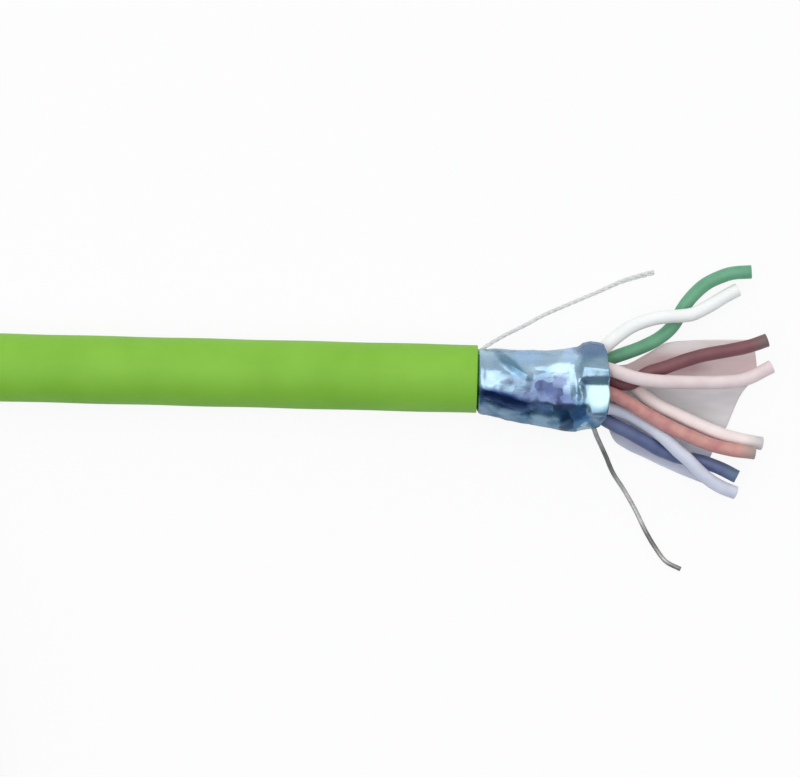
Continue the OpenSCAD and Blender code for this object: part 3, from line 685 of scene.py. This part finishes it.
def foil_base(x, angle):
    """Middle line of the foil's section at distance x from the cut."""
    reach_y = lookup(x, FLARE, 1 if math.cos(angle) > 0 else 2)
    reach_z = lookup(x, FLARE, 3) if math.sin(angle) > 0 else lookup(x, FLARE_DOWN)
    return Vector((x, reach_y * math.cos(angle), reach_z * math.sin(angle)))


# Folds of the upper side: a straight crest from one point to another, how far
# its two flanks reach, and how high it stands (or, below zero, how deep it lies).
FOLDS = [
    ((0.3, -0.9), (5.4, -2.4), 1.15, 0.40),
    ((2.4, 2.4), (5.2, 0.5), 0.7, 0.24),
    ((1.9, -0.4), (3.0, 0.1), 0.9, 0.14),
    ((6.2, 1.25), (9.4, 1.1), 1.15, -0.19),
    ((6.6, -2.2), (10.8, -2.6), 1.0, 0.16),
    ((8.3, -2.6), (8.9, -4.4), 0.7, 0.22),
    ((10.1, 3.6), (10.5, -1.6), 0.6, -0.14),
    ((11.2, 1.5), (13.9, 1.3), 0.9, 0.30),
]
# A flat facet at the rim: its ends along X and across, its height at y = 0 and its fall
# towards +Y.
RIM_FACET = ((11.6, 14.6), (-3.4, 0.6), 3.1, 0.26)


def fold_height(x, y):
    height = 0.0
    for (x0, y0), (x1, y1), reach, rise in FOLDS:
        along = (x - x0) * (x1 - x0) + (y - y0) * (y1 - y0)
        t = clamp01(along / ((x1 - x0) ** 2 + (y1 - y0) ** 2))
        away = math.hypot(x - mix(x0, x1, t), y - mix(y0, y1, t))
        height += rise * max(0.0, 1 - away / reach)
    return height


FOIL_AROUND = 168
FOIL_ALONG = 104
FOIL_ROWS_INSIDE = 12
# How far the rim is torn in and out.
RIM_TEAR = 0.16
# Crumples: height, width of a facet and seed.
CRUMPLES = [(0.11, 2.7, 11), (0.06, 1.3, 5), (0.022, 0.7, 3)]


def foil_corner(i, j):
    angle = math.tau * i / FOIL_AROUND
    if j < FOIL_ROWS_INSIDE:
        x = mix(-OPEN_LEN, 0, j / FOIL_ROWS_INSIDE)
        return Vector((x, FOIL_R * math.cos(angle), FOIL_R * math.sin(angle)))
    rim = smooth_lookup(math.degrees(angle), RIM)
    rim += RIM_TEAR * noise.noise(Vector((3 * math.cos(angle), 3 * math.sin(angle), 4.7)))
    x = rim * ((j - FOIL_ROWS_INSIDE) / (FOIL_ALONG - FOIL_ROWS_INSIDE))
    point = foil_base(x, angle)
    wander = Vector((noise.noise(point * 0.35), noise.noise(point * 0.35 + Vector((9, 2, 5))),
                     noise.noise(point * 0.35 + Vector((1, 7, 3))))) * 0.9
    crumple = sum(height * facet_height(point + wander, cell, seed)
                  for height, cell, seed in CRUMPLES) - 0.12
    fade = ease(x / 1.2)
    outward = Vector((0, math.cos(angle), math.sin(angle)))
    upper = clamp01(2.5 * math.sin(angle))
    point += outward * fade * (min(0.0, crumple) + upper * (fold_height(x, point.y) - 0.18))
    if upper > 0:
        (x0, x1), (y0, y1), height, fall = RIM_FACET
        share = ease((x - x0 + 0.3 * (point.y - y0)) / 0.6)
        share *= ease((point.y - y0 + 0.2) / 0.4) * ease((y1 - point.y) / 1.1)
        point.z = mix(point.z, height - fall * point.y + 0.3 * crumple, upper * share)
    point.z = max(point.z, TABLE + 0.08)
    return point


foil = wrapped_grid("foil_screen_torn", FOIL_AROUND, FOIL_ALONG, foil_corner)
apply_modifier(foil, "SOLIDIFY", thickness=FOIL_T * MM, offset=-1)
dress(foil, FOIL)
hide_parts("foil_screen")


# ---- film ----

FILM_R = 2.95
FILM_T = 0.03
# Distance from the cut at which the closed film has opened out to its tongue.
FILM_OPEN_X = 3.0
# Distance from the cut, edge to -Y, edge to +Y, height of the middle over the table,
# rise of the edges.
TONGUE = [
    [3.0, -2.0, 2.0, 0.62, 0.75], [8.0, -2.2, 2.0, 0.48, 0.60], [12.0, -2.4, 1.8, 0.45, 0.50],
    [13.4, -3.0, 1.7, 0.38, 0.40], [14.6, -5.9, 1.8, 0.28, 0.30], [16.0, -7.0, 2.0, 0.22, 0.25],
    [18.0, -7.9, 3.1, 0.14, 0.25], [20.0, -8.8, 4.3, 0.10, 0.25], [23.0, -10.0, 4.7, 0.10, 0.20],
    [25.0, -10.6, 4.8, 0.10, 0.24], [29.6, -10.6, 4.9, 0.10, 0.30],
]
TONGUE_END = [
    [-10.6, 24.4], [-8.0, 25.0], [-5.2, 26.2], [-4.2, 26.8], [-2.1, 27.6], [-0.3, 28.6],
    [0.8, 29.6], [3.3, 29.6], [4.9, 29.0],
]
FILM_ACROSS = 96
FILM_CLOSED_ROWS = 14
FILM_ALONG = 110


def film_corner(i, j):
    u = i / FILM_ACROSS
    if j <= FILM_CLOSED_ROWS:
        x = mix(-OPEN_LEN, FILM_OPEN_X, j / FILM_CLOSED_ROWS)
        opened = clamp01((x - 0.2) / (FILM_OPEN_X - 0.2))
        angle = math.radians(270 + (2 * u - 1) * mix(178, 42, opened))
        return Vector((x, FILM_R * math.cos(angle), FILM_R * math.sin(angle)))
    t = (j - FILM_CLOSED_ROWS) / (FILM_ALONG - FILM_CLOSED_ROWS)
    across = mix(TONGUE[-1][1], TONGUE[-1][2], u)
    end = smooth_lookup(across, TONGUE_END) + 0.12 * noise.noise(Vector((u * 9, 3.3, 0)))
    x = mix(FILM_OPEN_X, end, t)
    y = mix(smooth_lookup(x, TONGUE, 1), smooth_lookup(x, TONGUE, 2), u)
    z = TABLE + smooth_lookup(x, TONGUE, 3) + smooth_lookup(x, TONGUE, 4) * (2 * u - 1) ** 2
    loose = ease((x - 12) / 6)
    ruffle = 0.5 + 0.5 * math.sin(2.1 * y + 0.35 * x + 1.5 * noise.noise(Vector((x, y, 0)) * 0.2))
    z += loose * (0.10 * ruffle + 0.07 * (1 + noise.noise(Vector((x, 2 * y, 1)) * 0.6)))
    return Vector((x, y, max(z, TABLE + 0.03)))


film = wrapped_grid("film_tongue", FILM_ACROSS, FILM_ALONG, film_corner, closed=False)
apply_modifier(film, "SOLIDIFY", thickness=FILM_T * MM, offset=1)
dress(film, FILM)
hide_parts("film_wrap")


# ---- conductors ----

PRESSED_D = 1.2
WIRE_D = 1.45
# Faint unevenness of the insulation, by which its radius is made less.
SWELL = 0.010
CORE_D = 0.57
# Keeps the copper clear of the insulation round it.
CORE_GAP = 0.01
LAY = 18
PAIR_STEP = 1.36
PAIR_AXIS = 1.1655
MOUTH_X = 12.5
# Points of a conductor's path behind the cut and in the foil.
POINTS_INSIDE = 8
POINTS_IN_FOIL = 6

# Free ends: distance from the cut, distance to +Y, height above the table.
FAN = {
    "green": [
        [12.5, 1.95, 2.1], [14.0, 2.5, 2.0], [15.6, 3.1, 1.9], [16.9, 3.6, 1.8], [18.2, 4.2, 1.6],
        [19.3, 4.85, 1.5], [20.3, 5.7, 1.35], [21.0, 6.6, 1.3], [21.5, 7.6, 1.3], [22.1, 8.6, 1.35],
        [22.9, 9.6, 1.4], [24.1, 10.7, 1.5], [25.4, 11.4, 1.6], [26.8, 11.9, 1.7],
        [28.9, 12.1, 1.8]],
    "white_green": [
        [12.5, 2.95, 3.25], [13.5, 3.75, 3.3], [14.4, 4.6, 3.3], [15.4, 5.4, 3.3],
        [16.5, 6.1, 3.25], [18.2, 6.75, 3.2], [20.0, 7.1, 3.1], [21.4, 7.2, 2.95],
        [22.6, 7.4, 2.75], [23.6, 7.85, 2.55], [24.7, 8.5, 2.3], [26.0, 9.35, 2.0],
        [27.5, 10.2, 1.8]],
    "brown": [
        [12.5, 1.5, 4.0], [13.8, 0.75, 3.75], [15.0, 0.0, 3.45], [16.1, -0.1, 3.3],
        [17.0, 0.35, 3.3], [18.1, 1.1, 3.35], [19.9, 1.7, 3.3], [22.0, 2.5, 3.1], [23.9, 3.1, 3.0],
        [26.7, 3.7, 2.8], [28.8, 4.2, 2.7], [30.7, 4.9, 2.6]],
    "white_brown": [
        [12.5, 1.6, 5.55], [14.0, 1.35, 5.6], [15.1, 1.0, 5.5], [16.4, 0.6, 5.3], [18.3, 0.3, 4.9],
        [21.5, 0.2, 4.4], [25.7, 0.3, 3.8], [28.4, 0.7, 3.5], [31.2, 2.1, 3.2]],
    "orange": [
        [12.5, -1.0, 4.2], [13.7, -1.0, 4.1], [14.8, -1.4, 4.0], [15.8, -1.9, 3.9],
        [17.3, -2.8, 3.7], [18.9, -3.7, 3.5], [20.6, -4.6, 3.3], [22.7, -5.5, 3.1],
        [24.8, -6.3, 2.9], [27.0, -6.8, 2.7], [29.7, -7.1, 2.5]],
    "white_orange": [
        [12.5, 0.3, 2.7], [14.0, 0.5, 2.1], [15.3, 0.3, 1.75], [16.6, -0.3, 1.75],
        [17.9, -1.4, 1.95], [19.4, -2.4, 2.1], [21.0, -3.1, 2.2], [23.7, -4.3, 2.1],
        [26.4, -5.3, 1.8], [28.5, -5.8, 1.5], [30.5, -6.1, 1.2]],
    "blue": [
        [12.5, -3.1, 2.3], [13.4, -3.8, 2.15], [14.3, -4.3, 2.2], [15.3, -4.8, 2.25],
        [16.3, -5.25, 2.25], [17.4, -5.85, 2.15], [18.4, -6.4, 1.95], [19.4, -6.95, 1.7],
        [20.4, -7.35, 1.5], [21.4, -7.7, 1.35], [22.5, -7.9, 1.3], [23.8, -8.1, 1.3],
        [26.0, -8.8, 1.4], [27.9, -9.7, 1.5]],
    "white_blue": [
        [12.5, -2.7, 3.8], [13.4, -2.7, 3.5], [14.3, -2.75, 2.95], [15.3, -3.0, 2.4],
        [16.3, -3.4, 2.1], [17.4, -4.0, 2.05], [18.4, -4.6, 2.2], [19.4, -5.25, 2.45],
        [20.4, -6.1, 2.7], [21.4, -7.05, 2.85], [22.5, -7.95, 2.85], [23.8, -9.2, 2.6],
        [25.1, -10.2, 2.2], [26.4, -10.9, 1.9], [27.8, -11.4, 1.6]],
}
# Each pair: colour, sides of the cable's axis, start angle, window of its move aside.
PAIRS = [
    ("green", (1, -1), 75, (0.3, 1)), ("brown", (1, 1), 345, (0.3, 1)),
    ("orange", (-1, 1), 255, (0.4, 1)), ("blue", (-1, -1), 165, (0, 0.7)),
]


def raised(point):
    return Vector((point[0], point[1], TABLE + point[2]))


def pair_point(pair, which, x):
    """Where a conductor lies inside the cable and in the foil's mouth."""
    colour, sides, start, window = pair
    t = clamp01(x / MOUTH_X)
    first, second = raised(FAN[colour][0]), raised(FAN["white_" + colour][0])
    spread = (second - first) / 2
    turn = (math.degrees(math.atan2(spread.z, spread.y)) - start + 900) % 360 - 180
    angle = math.radians(start + (360 * x / LAY if x <= 0 else turn * t))
    half = (1 if which else -1) * mix(PAIR_STEP / 2, math.hypot(spread.y, spread.z), t)
    aside = ease((t - window[0]) / (window[1] - window[0]))
    middle = (first + second) / 2
    return Vector((x, mix(PAIR_AXIS * sides[0], middle.y, aside) + half * math.cos(angle),
                   mix(PAIR_AXIS * sides[1], middle.z, aside) + half * math.sin(angle)))


def conductor_path(pair, which):
    name = ("white_" if which else "") + pair[0]
    points = [pair_point(pair, which, -OPEN_LEN + OPEN_LEN / POINTS_INSIDE * i)
              for i in range(POINTS_INSIDE)]
    points += [pair_point(pair, which, MOUTH_X * i / POINTS_IN_FOIL)
               for i in range(POINTS_IN_FOIL)]
    points += [raised(p) for p in FAN[name]]
    return name, smooth_path(points, 0.4)


def insulation_swell(u, j):
    return SWELL * math.sin(math.tau * (u + 0.031 * j)) + 0.006 * math.sin(0.9 * j)


for pair in PAIRS:
    for which in (0, 1):
        colour_name, path = conductor_path(pair, which)
        radii = [mix(PRESSED_D, WIRE_D, ease(p.x / MOUTH_X)) / 2 - SWELL for p in path]
        insulation = tube("insulation_" + colour_name, path, radii, 28,
                          bore=CORE_D / 2 + CORE_GAP, rounding=0.07, swell=insulation_swell)
        dress(insulation, INSULATION[colour_name])
        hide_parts("wire_" + colour_name)
        core = tube("conductor_" + colour_name, path, CORE_D / 2, 14, rounding=0.05)
        dress(core, COPPER)
        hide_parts("core_" + colour_name)


# ---- drain wire and ripcord ----

DRAIN_R = 0.25
DRAIN_Y = -2.764
RIPCORD_Y = 2.895
# The ripcord's plies: how many, their radius, distance from its axis, length of a turn.
PLIES = 3
PLY_R = 0.13
PLY_AXIS = 0.09
PLY_PITCH = 2.4
DRAIN = [
    [2.0, -3.3, 3.6], [5.0, -4.0, 3.6], [8.0, -4.3, 3.6], [10.5, -4.4, 3.6], [11.8, -4.4, 3.6],
    [12.4, -4.8, 3.5], [12.8, -5.7, 3.2], [13.4, -6.9, 2.7], [13.9, -7.9, 2.2], [14.7, -9.6, 1.5],
    [16.0, -11.5, 0.9], [17.2, -13.5, 0.6], [18.4, -15.8, 0.4], [19.4, -17.4, 0.3],
    [20.6, -18.9, 0.3], [22.2, -19.7, 0.3],
]
RIPCORD = [
    [0.9, 3.5, 3.5], [1.8, 4.1, 3.3], [2.9, 4.75, 3.0], [4.9, 5.8, 2.3], [6.9, 6.95, 1.6],
    [8.7, 7.8, 1.1], [10.7, 8.7, 0.8], [12.8, 9.65, 0.5], [15.4, 10.85, 0.35], [18.6, 11.85, 0.3],
]


def layer_path(y, points, spacing):
    inside = [Vector((x, y, 0)) for x in (-OPEN_LEN, -OPEN_LEN / 2, 0)]
    return smooth_path(inside + [raised(p) for p in points], spacing)


drain = tube("drain_wire_bent", layer_path(DRAIN_Y, DRAIN, 0.3), DRAIN_R, 20, rounding=0.05)
dress(drain, TINNED)
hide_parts("drain_wire")


def twisted_plies(path):
    """The plies of a thread, wound round its path, a little looser towards the free end."""
    run = 0.0
    plies = [[] for _ in range(PLIES)]
    for j, (point, (_, across, up)) in enumerate(zip(path, carried_frames(path))):
        if j:
            run += (point - path[j - 1]).length
        loose = ease((point.x - 12) / 6.6)
        for k, ply in enumerate(plies):
            angle = math.tau * (run / PLY_PITCH + k / PLIES)
            offset = across * math.cos(angle) * (1 + 0.9 * loose) + up * math.sin(angle)
            ply.append(point + offset * PLY_AXIS)
    return plies


strands = [tube("ripcord_ply", ply, PLY_R, 8, rounding=0.03)
           for ply in twisted_plies(layer_path(RIPCORD_Y, RIPCORD, 0.16))]
select_only(*strands)
bpy.ops.object.join()
ripcord = bpy.context.object
ripcord.name = "ripcord_thread"
select_only()
dress(ripcord, THREAD)
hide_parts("ripcord")


# ---- plug and boot ----
# Made round the plug's own origin, where the cable enters its body: the nose points to +X
# and the latch is on top.

PLUG_W = 11.68
HALF_W = PLUG_W / 2
PLUG_LEN = 21.5
BACK_Z = 4.0
NOSE_TOP = 2.6
STEP_X = 10.5
SHELL_T = 0.25
SHELL_LEN = 13.5
COLLAR_R = 3.9
# Bore of the collar and the boot, a little wider than the cable.
PASSAGE_R = 3.65
# Near ends of the shell's windows and of the body's catches in them.
WINDOWS = (3.2, 8.2)
CATCHES = (3.35, 8.35)
CONTACTS = 8
CONTACT_PITCH = 1.016
SLOT_X = 15.65
BLADE_NOSE = 21.25
BLADE_FOOT = -3.75
LATCH_HINGE = Vector((20.4, 0, 3.22))
LATCH_RISE = 15
LEVER_R = 0.5


def contact_y(i):
    return (i - (CONTACTS - 1) / 2) * CONTACT_PITCH


def block(name, low, high):
    """A box between two corners in the plug's own frame."""
    low, high = Vector(low), Vector(high)
    bpy.ops.mesh.primitive_cube_add(size=1, location=(low + high) / 2 * MM)
    piece = bpy.context.object
    piece.name = piece.data.name = name
    piece.scale = (high - low) * MM
    bpy.ops.object.transform_apply(location=True, rotation=True, scale=True)
    return piece


def rod(radius, length, sides, turn):
    bpy.ops.mesh.primitive_cylinder_add(vertices=sides, radius=radius * MM, depth=length * MM,
                                        rotation=turn)
    return bpy.context.object


def turned(name, profile, sides):
    """A ring turned round the X axis from a closed profile of distances and radii."""
    def place(i, j):
        x, r = profile[j % len(profile)]
        angle = math.tau * i / sides
        return Vector((x, r * math.cos(angle), r * math.sin(angle)))
    return wrapped_grid(name, sides, len(profile), place)


def combine(piece, tool, operation):
    apply_modifier(piece, "BOOLEAN", object=tool, operation=operation, solver="EXACT")
    bpy.data.objects.remove(tool, do_unlink=True)


def weld(piece, tool):
    combine(piece, tool, "UNION")


def cut(piece, tool):
    combine(piece, tool, "DIFFERENCE")


def round_edges(piece, width, segments, angle):
    apply_modifier(piece, "BEVEL", width=width * MM, segments=segments, limit_method="ANGLE",
                   angle_limit=math.radians(angle), harden_normals=False)


def seat_on_plug(piece):
    """Moves a piece from the plug's own frame to its place on the table."""
    piece.data.transform(Matrix.Translation(PLUG * MM))
    merge_and_smooth(piece, SMOOTH_PLUG)
    return piece


def make_shell():
    shell = block("plug_shell_formed", (-SHELL_T, -HALF_W, -BACK_Z), (SHELL_LEN, HALF_W, NOSE_TOP))
    weld(shell, block("back", (-SHELL_T, -HALF_W, -BACK_Z + 0.001), (STEP_X, HALF_W, BACK_Z)))
    round_edges(shell, 0.35, 3, 60)
    inner = HALF_W - SHELL_T
    cut(shell, block("room", (0, -inner, SHELL_T - BACK_Z), (SHELL_LEN + 1, inner, 3.2)))
    cut(shell, block("room", (0, -inner, 0), (STEP_X - SHELL_T, inner, BACK_Z - SHELL_T)))
    # Punched windows in both sides, in which the body's catches sit.
    for x in WINDOWS:
        cut(shell, block("window", (x, -HALF_W - 1, -1.3), (x + 1.9, HALF_W + 1, 0.9)))
    # The cable's way in.
    cut(shell, rod(PASSAGE_R, 4, 72, (0, math.pi / 2, 0)))
    # Pressed ribs that touch the socket's springs.
    for side in (-1, 1):
        rib = block("rib", (5.9, side * HALF_W - 0.16, -2.6), (12.7, side * HALF_W + 0.16, -2.0))
        round_edges(rib, 0.15, 3, 30)
        weld(shell, rib)
    # The collar, with two grooves round it.
    profile = [(0.0, COLLAR_R), (0.0, PASSAGE_R), (-7.0, PASSAGE_R), (-7.0, 3.84),
               (-6.94, COLLAR_R)]
    for x in (-5.6, -3.4):
        profile += [(x, COLLAR_R), (x + 0.15, 3.8), (x + 0.9, 3.8), (x + 1.05, COLLAR_R)]
    weld(shell, turned("collar", profile, 72))
    return seat_on_plug(shell)


def make_body():
    body = block("plug_body_clear", (SHELL_LEN, -HALF_W, -BACK_Z), (PLUG_LEN, HALF_W, NOSE_TOP))
    round_edges(body, 0.45, 4, 60)
    # The back part, set in so that it fits the shell.
    inset = 0.27
    side = HALF_W - inset
    weld(body, block("back", (0, -side, inset - BACK_Z), (SHELL_LEN + 0.8, side, NOSE_TOP - 0.02)))
    weld(body, block("back", (0, -side, -1), (STEP_X - inset, side, BACK_Z - inset)))
    cut(body, block("cavity", (-1, -4.2, -2.5), (12, 4.2, 2.5)))
    # Catches that look out of the shell's windows.
    for x in CATCHES:
        for y in (0.4 - HALF_W, HALF_W - 0.4):
            catch = block("catch", (x, y - 0.3, -1.15), (x + 1.6, y + 0.3, 0.75))
            round_edges(catch, 0.12, 2, 30)
            weld(body, catch)
    for i in range(CONTACTS):
        y = contact_y(i)
        cut(body, block("slot", (SLOT_X - 0.05, y - 0.225, -BACK_Z - 1),
                        (PLUG_LEN + 1, y + 0.225, -0.70)))
    return seat_on_plug(body)


def make_contact():
    """One blade: a rounded front corner below, and notches that leave teeth above."""
    blade = block("contact_blade", (SLOT_X, -0.175, BLADE_FOOT), (BLADE_NOSE, 0.175, -0.75))
    for x in (16.9, 18.7):
        cut(blade, block("notch", (x, -1, -1.25), (x + 0.9, 1, 0)))
    select_only(blade)
    bpy.ops.object.mode_set(mode="EDIT")
    mesh = bmesh.from_edit_mesh(blade.data)
    for edge in mesh.edges:
        a, b = [corner.co / MM for corner in edge.verts]
        edge.select_set(abs(a.y - b.y) > 0.2 and (a.x + b.x) / 2 > BLADE_NOSE - 0.05
                        and (a.z + b.z) / 2 < BLADE_FOOT + 0.05)
    bmesh.update_edit_mesh(blade.data)
    bpy.ops.mesh.bevel(offset=0.7 * MM, segments=6, affect="EDGES")
    bpy.ops.object.mode_set(mode="OBJECT")
    round_edges(blade, 0.05, 2, 40)
    return blade


def make_latch():
    """The lever: wide head at the hinge, narrow grip behind, and a stop bar across the head."""
    lever = block("latch_moulded", (-6.4, -3, -LEVER_R), (0.2, 3, LEVER_R))
    weld(lever, block("tail", (-14, -1.6, -LEVER_R), (-6.3, 1.6, LEVER_R)))
    weld(lever, block("stop", (-6.4, -3, 0.4), (-4.8, 3, 1.0)))
    weld(lever, rod(LEVER_R, 6, 32, (math.pi / 2, 0, 0)))
    round_edges(lever, 0.14, 3, 40)
    for x in (-13.2, -12.4, -11.6):
        grip = block("grip", (x, -1.3, 0.40), (x + 0.35, 1.3, 0.62))
        round_edges(grip, 0.08, 2, 30)
        weld(lever, grip)
    lever.data.transform(Matrix.Translation(LATCH_HINGE * MM)
                         @ Matrix.Rotation(math.radians(LATCH_RISE), 4, "Y"))
    return seat_on_plug(lever)


# Half width, half height and corner radius of the boot's head, plain and in a groove.
HEAD = (6.5, 4.8, 2.0)
GROOVED = (6.22, 4.8, 2.0)
SLEEVE_START = -9.5
SLEEVE_LEN = 17.0
SLEEVE_ROOT_R = 4.7
SLEEVE_TIP_R = 4.35
RIBS = 5
BOOT_AROUND = 96


def boot_sections():
    """Rows of distance, half width, half height and corner radius: over the outside from the
    head's face to the sleeve's tip, then back inside."""
    rows = [(-0.25, 4.0, 4.0, 4.0), (-0.25, 6.2, 4.5, 2.0), (-0.34, 6.42, 4.72, 2.0),
            (-0.55, *HEAD)]
    for x in (-2.6, -4.2, -5.8):
        rows += [(x + 0.45, *HEAD), (x + 0.25, *GROOVED), (x - 0.25, *GROOVED), (x - 0.45, *HEAD)]
    rows += [(-9.0, *HEAD), (-9.36, 6.3, 4.72, 2.1), (SLEEVE_START, 5.9, 4.6, 2.4)]
    step = SLEEVE_LEN / RIBS
    rings = []
    for k in range(RIBS):
        start = k * step
        for s, drop in ((start + 0.02, 0.10), (start + 0.16, 0.0), (start + 0.6 * step - 0.14, 0.0),
                        (start + 0.6 * step, 0.10), (start + 0.62 * step, 0.38),
                        (start + step - 0.02, 0.40)):
            rings.append((SLEEVE_START - s,
                          mix(SLEEVE_ROOT_R, SLEEVE_TIP_R, s / SLEEVE_LEN) - drop))
    rings.append((SLEEVE_START - SLEEVE_LEN, 3.94))
    rings += [(x, PASSAGE_R) for x in (SLEEVE_START - SLEEVE_LEN, -20, -14, -7.06)]
    rings += [(-7.05, 3.95), (-3.5, 3.95)]
    return rows + [(x, r, r, r) for x, r in rings]


def make_boot():
    """Strain relief: a rounded head with finger grooves, then a sleeve with ribs."""
    sections = boot_sections()

    def place(i, j):
        x, half_w, half_h, corner = sections[j % len(sections)]
        angle = math.tau * i / BOOT_AROUND
        # The corner's circle, pushed out to the head's four corners.
        y, z = math.cos(angle), math.sin(angle)
        flat = Vector((max(-1, min(1, 3.2 * y)) * (half_w - corner),
                       max(-1, min(1, 3.2 * z)) * (half_h - corner)))
        return Vector((x, flat.x + corner * y, flat.y + corner * z))

    return seat_on_plug(wrapped_grid("boot_moulded", BOOT_AROUND, len(sections), place))


shell = make_shell()
dress(shell, NICKEL)
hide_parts("plug_shell")
body = make_body()
dress(body, CLEAR)
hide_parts("plug_housing")
latch = make_latch()
dress(latch, CLEAR, LATCH)
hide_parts("latch_lever")
boot = make_boot()
dress(boot, BOOT_PVC)
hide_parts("boot")

first_blade = make_contact()
for i in range(CONTACTS):
    blade = first_blade.copy()
    blade.data = first_blade.data.copy()
    blade.name = "contact_blade_%d" % (i + 1)
    bpy.context.collection.objects.link(blade)
    blade.data.transform(Matrix.Translation(Vector((0, contact_y(i) * MM, 0))))
    seat_on_plug(blade)
    dress(blade, GOLD)
    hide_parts("contact_%d" % (i + 1))
bpy.data.objects.remove(first_blade, do_unlink=True)

load_bar = bpy.data.objects["load_bar"]
load_bar.data.materials.clear()
load_bar.data.materials.append(NYLON)


# ---- stage and light ----


def camera_ray(tree):
    return tree.add("LightPath").outputs["Is Camera Ray"]


# In metres: the floor lies a little below the lead, so that no faces coincide.
FLOOR_SIZE = 4
FLOOR_GAP = 0.00002


def add_floor():
    bpy.ops.mesh.primitive_plane_add(size=FLOOR_SIZE, location=(0, 0, TABLE * MM - FLOOR_GAP))
    floor = bpy.context.object
    floor.name = "floor"
    material = bpy.data.materials.new("floor_white")
    tree = Nodes(material)
    tree.nodes.remove(tree.nodes["Principled BSDF"])
    surface = tree.mixed_shader(tree.product(camera_ray(tree), 0.90),
                                tree.add("BsdfDiffuse", Color=grey(0.9)),
                                tree.add("Emission", Color=grey(1)))
    tree.feed(tree.nodes["Material Output"].inputs["Surface"], surface)
    floor.data.materials.append(material)


def add_world():
    world = bpy.data.worlds.new("studio")
    bpy.context.scene.world = world
    tree = Nodes(world)
    tree.nodes.clear()
    split = tree.add("SeparateXYZ", Vector=tree.add("TexCoord").outputs["Generated"])
    tones = tree.ramp(tree.map_range(split.outputs["Y"], From_Min=-1, From_Max=1), [
        (0.12, (0.17, 0.21, 0.28, 1)), (0.32, (0.50, 0.51, 0.53, 1)),
        (0.5, (0.66, 0.66, 0.68, 1)), (0.90, grey(0.72))])
    surface = tree.mixed_shader(camera_ray(tree),
                                tree.add("Background", Color=tones, Strength=1.05),
                                tree.add("Background", Color=grey(1)))
    tree.add("OutputWorld", Surface=surface)


# The lamps' places, sizes and aim are in metres.
LAMP_AIM = Vector((-0.03, -0.03, 0))


def add_lamp(name, where, size, power):
    bpy.ops.object.light_add(type="AREA", location=where)
    lamp = bpy.context.object
    lamp.name = name
    lamp.data.size = size
    lamp.data.energy = power
    lamp.rotation_euler = (LAMP_AIM - Vector(where)).to_track_quat("-Z", "Y").to_euler()


add_floor()
add_world()
add_lamp("key_softbox", (0.0, 0.25, 0.58), 0.54, 0.92)
add_lamp("fill_softbox", (-0.2, -0.17, 0.63), 0.5, 0.90)
select_only()

bpy.context.scene.view_settings.view_transform = "Standard"
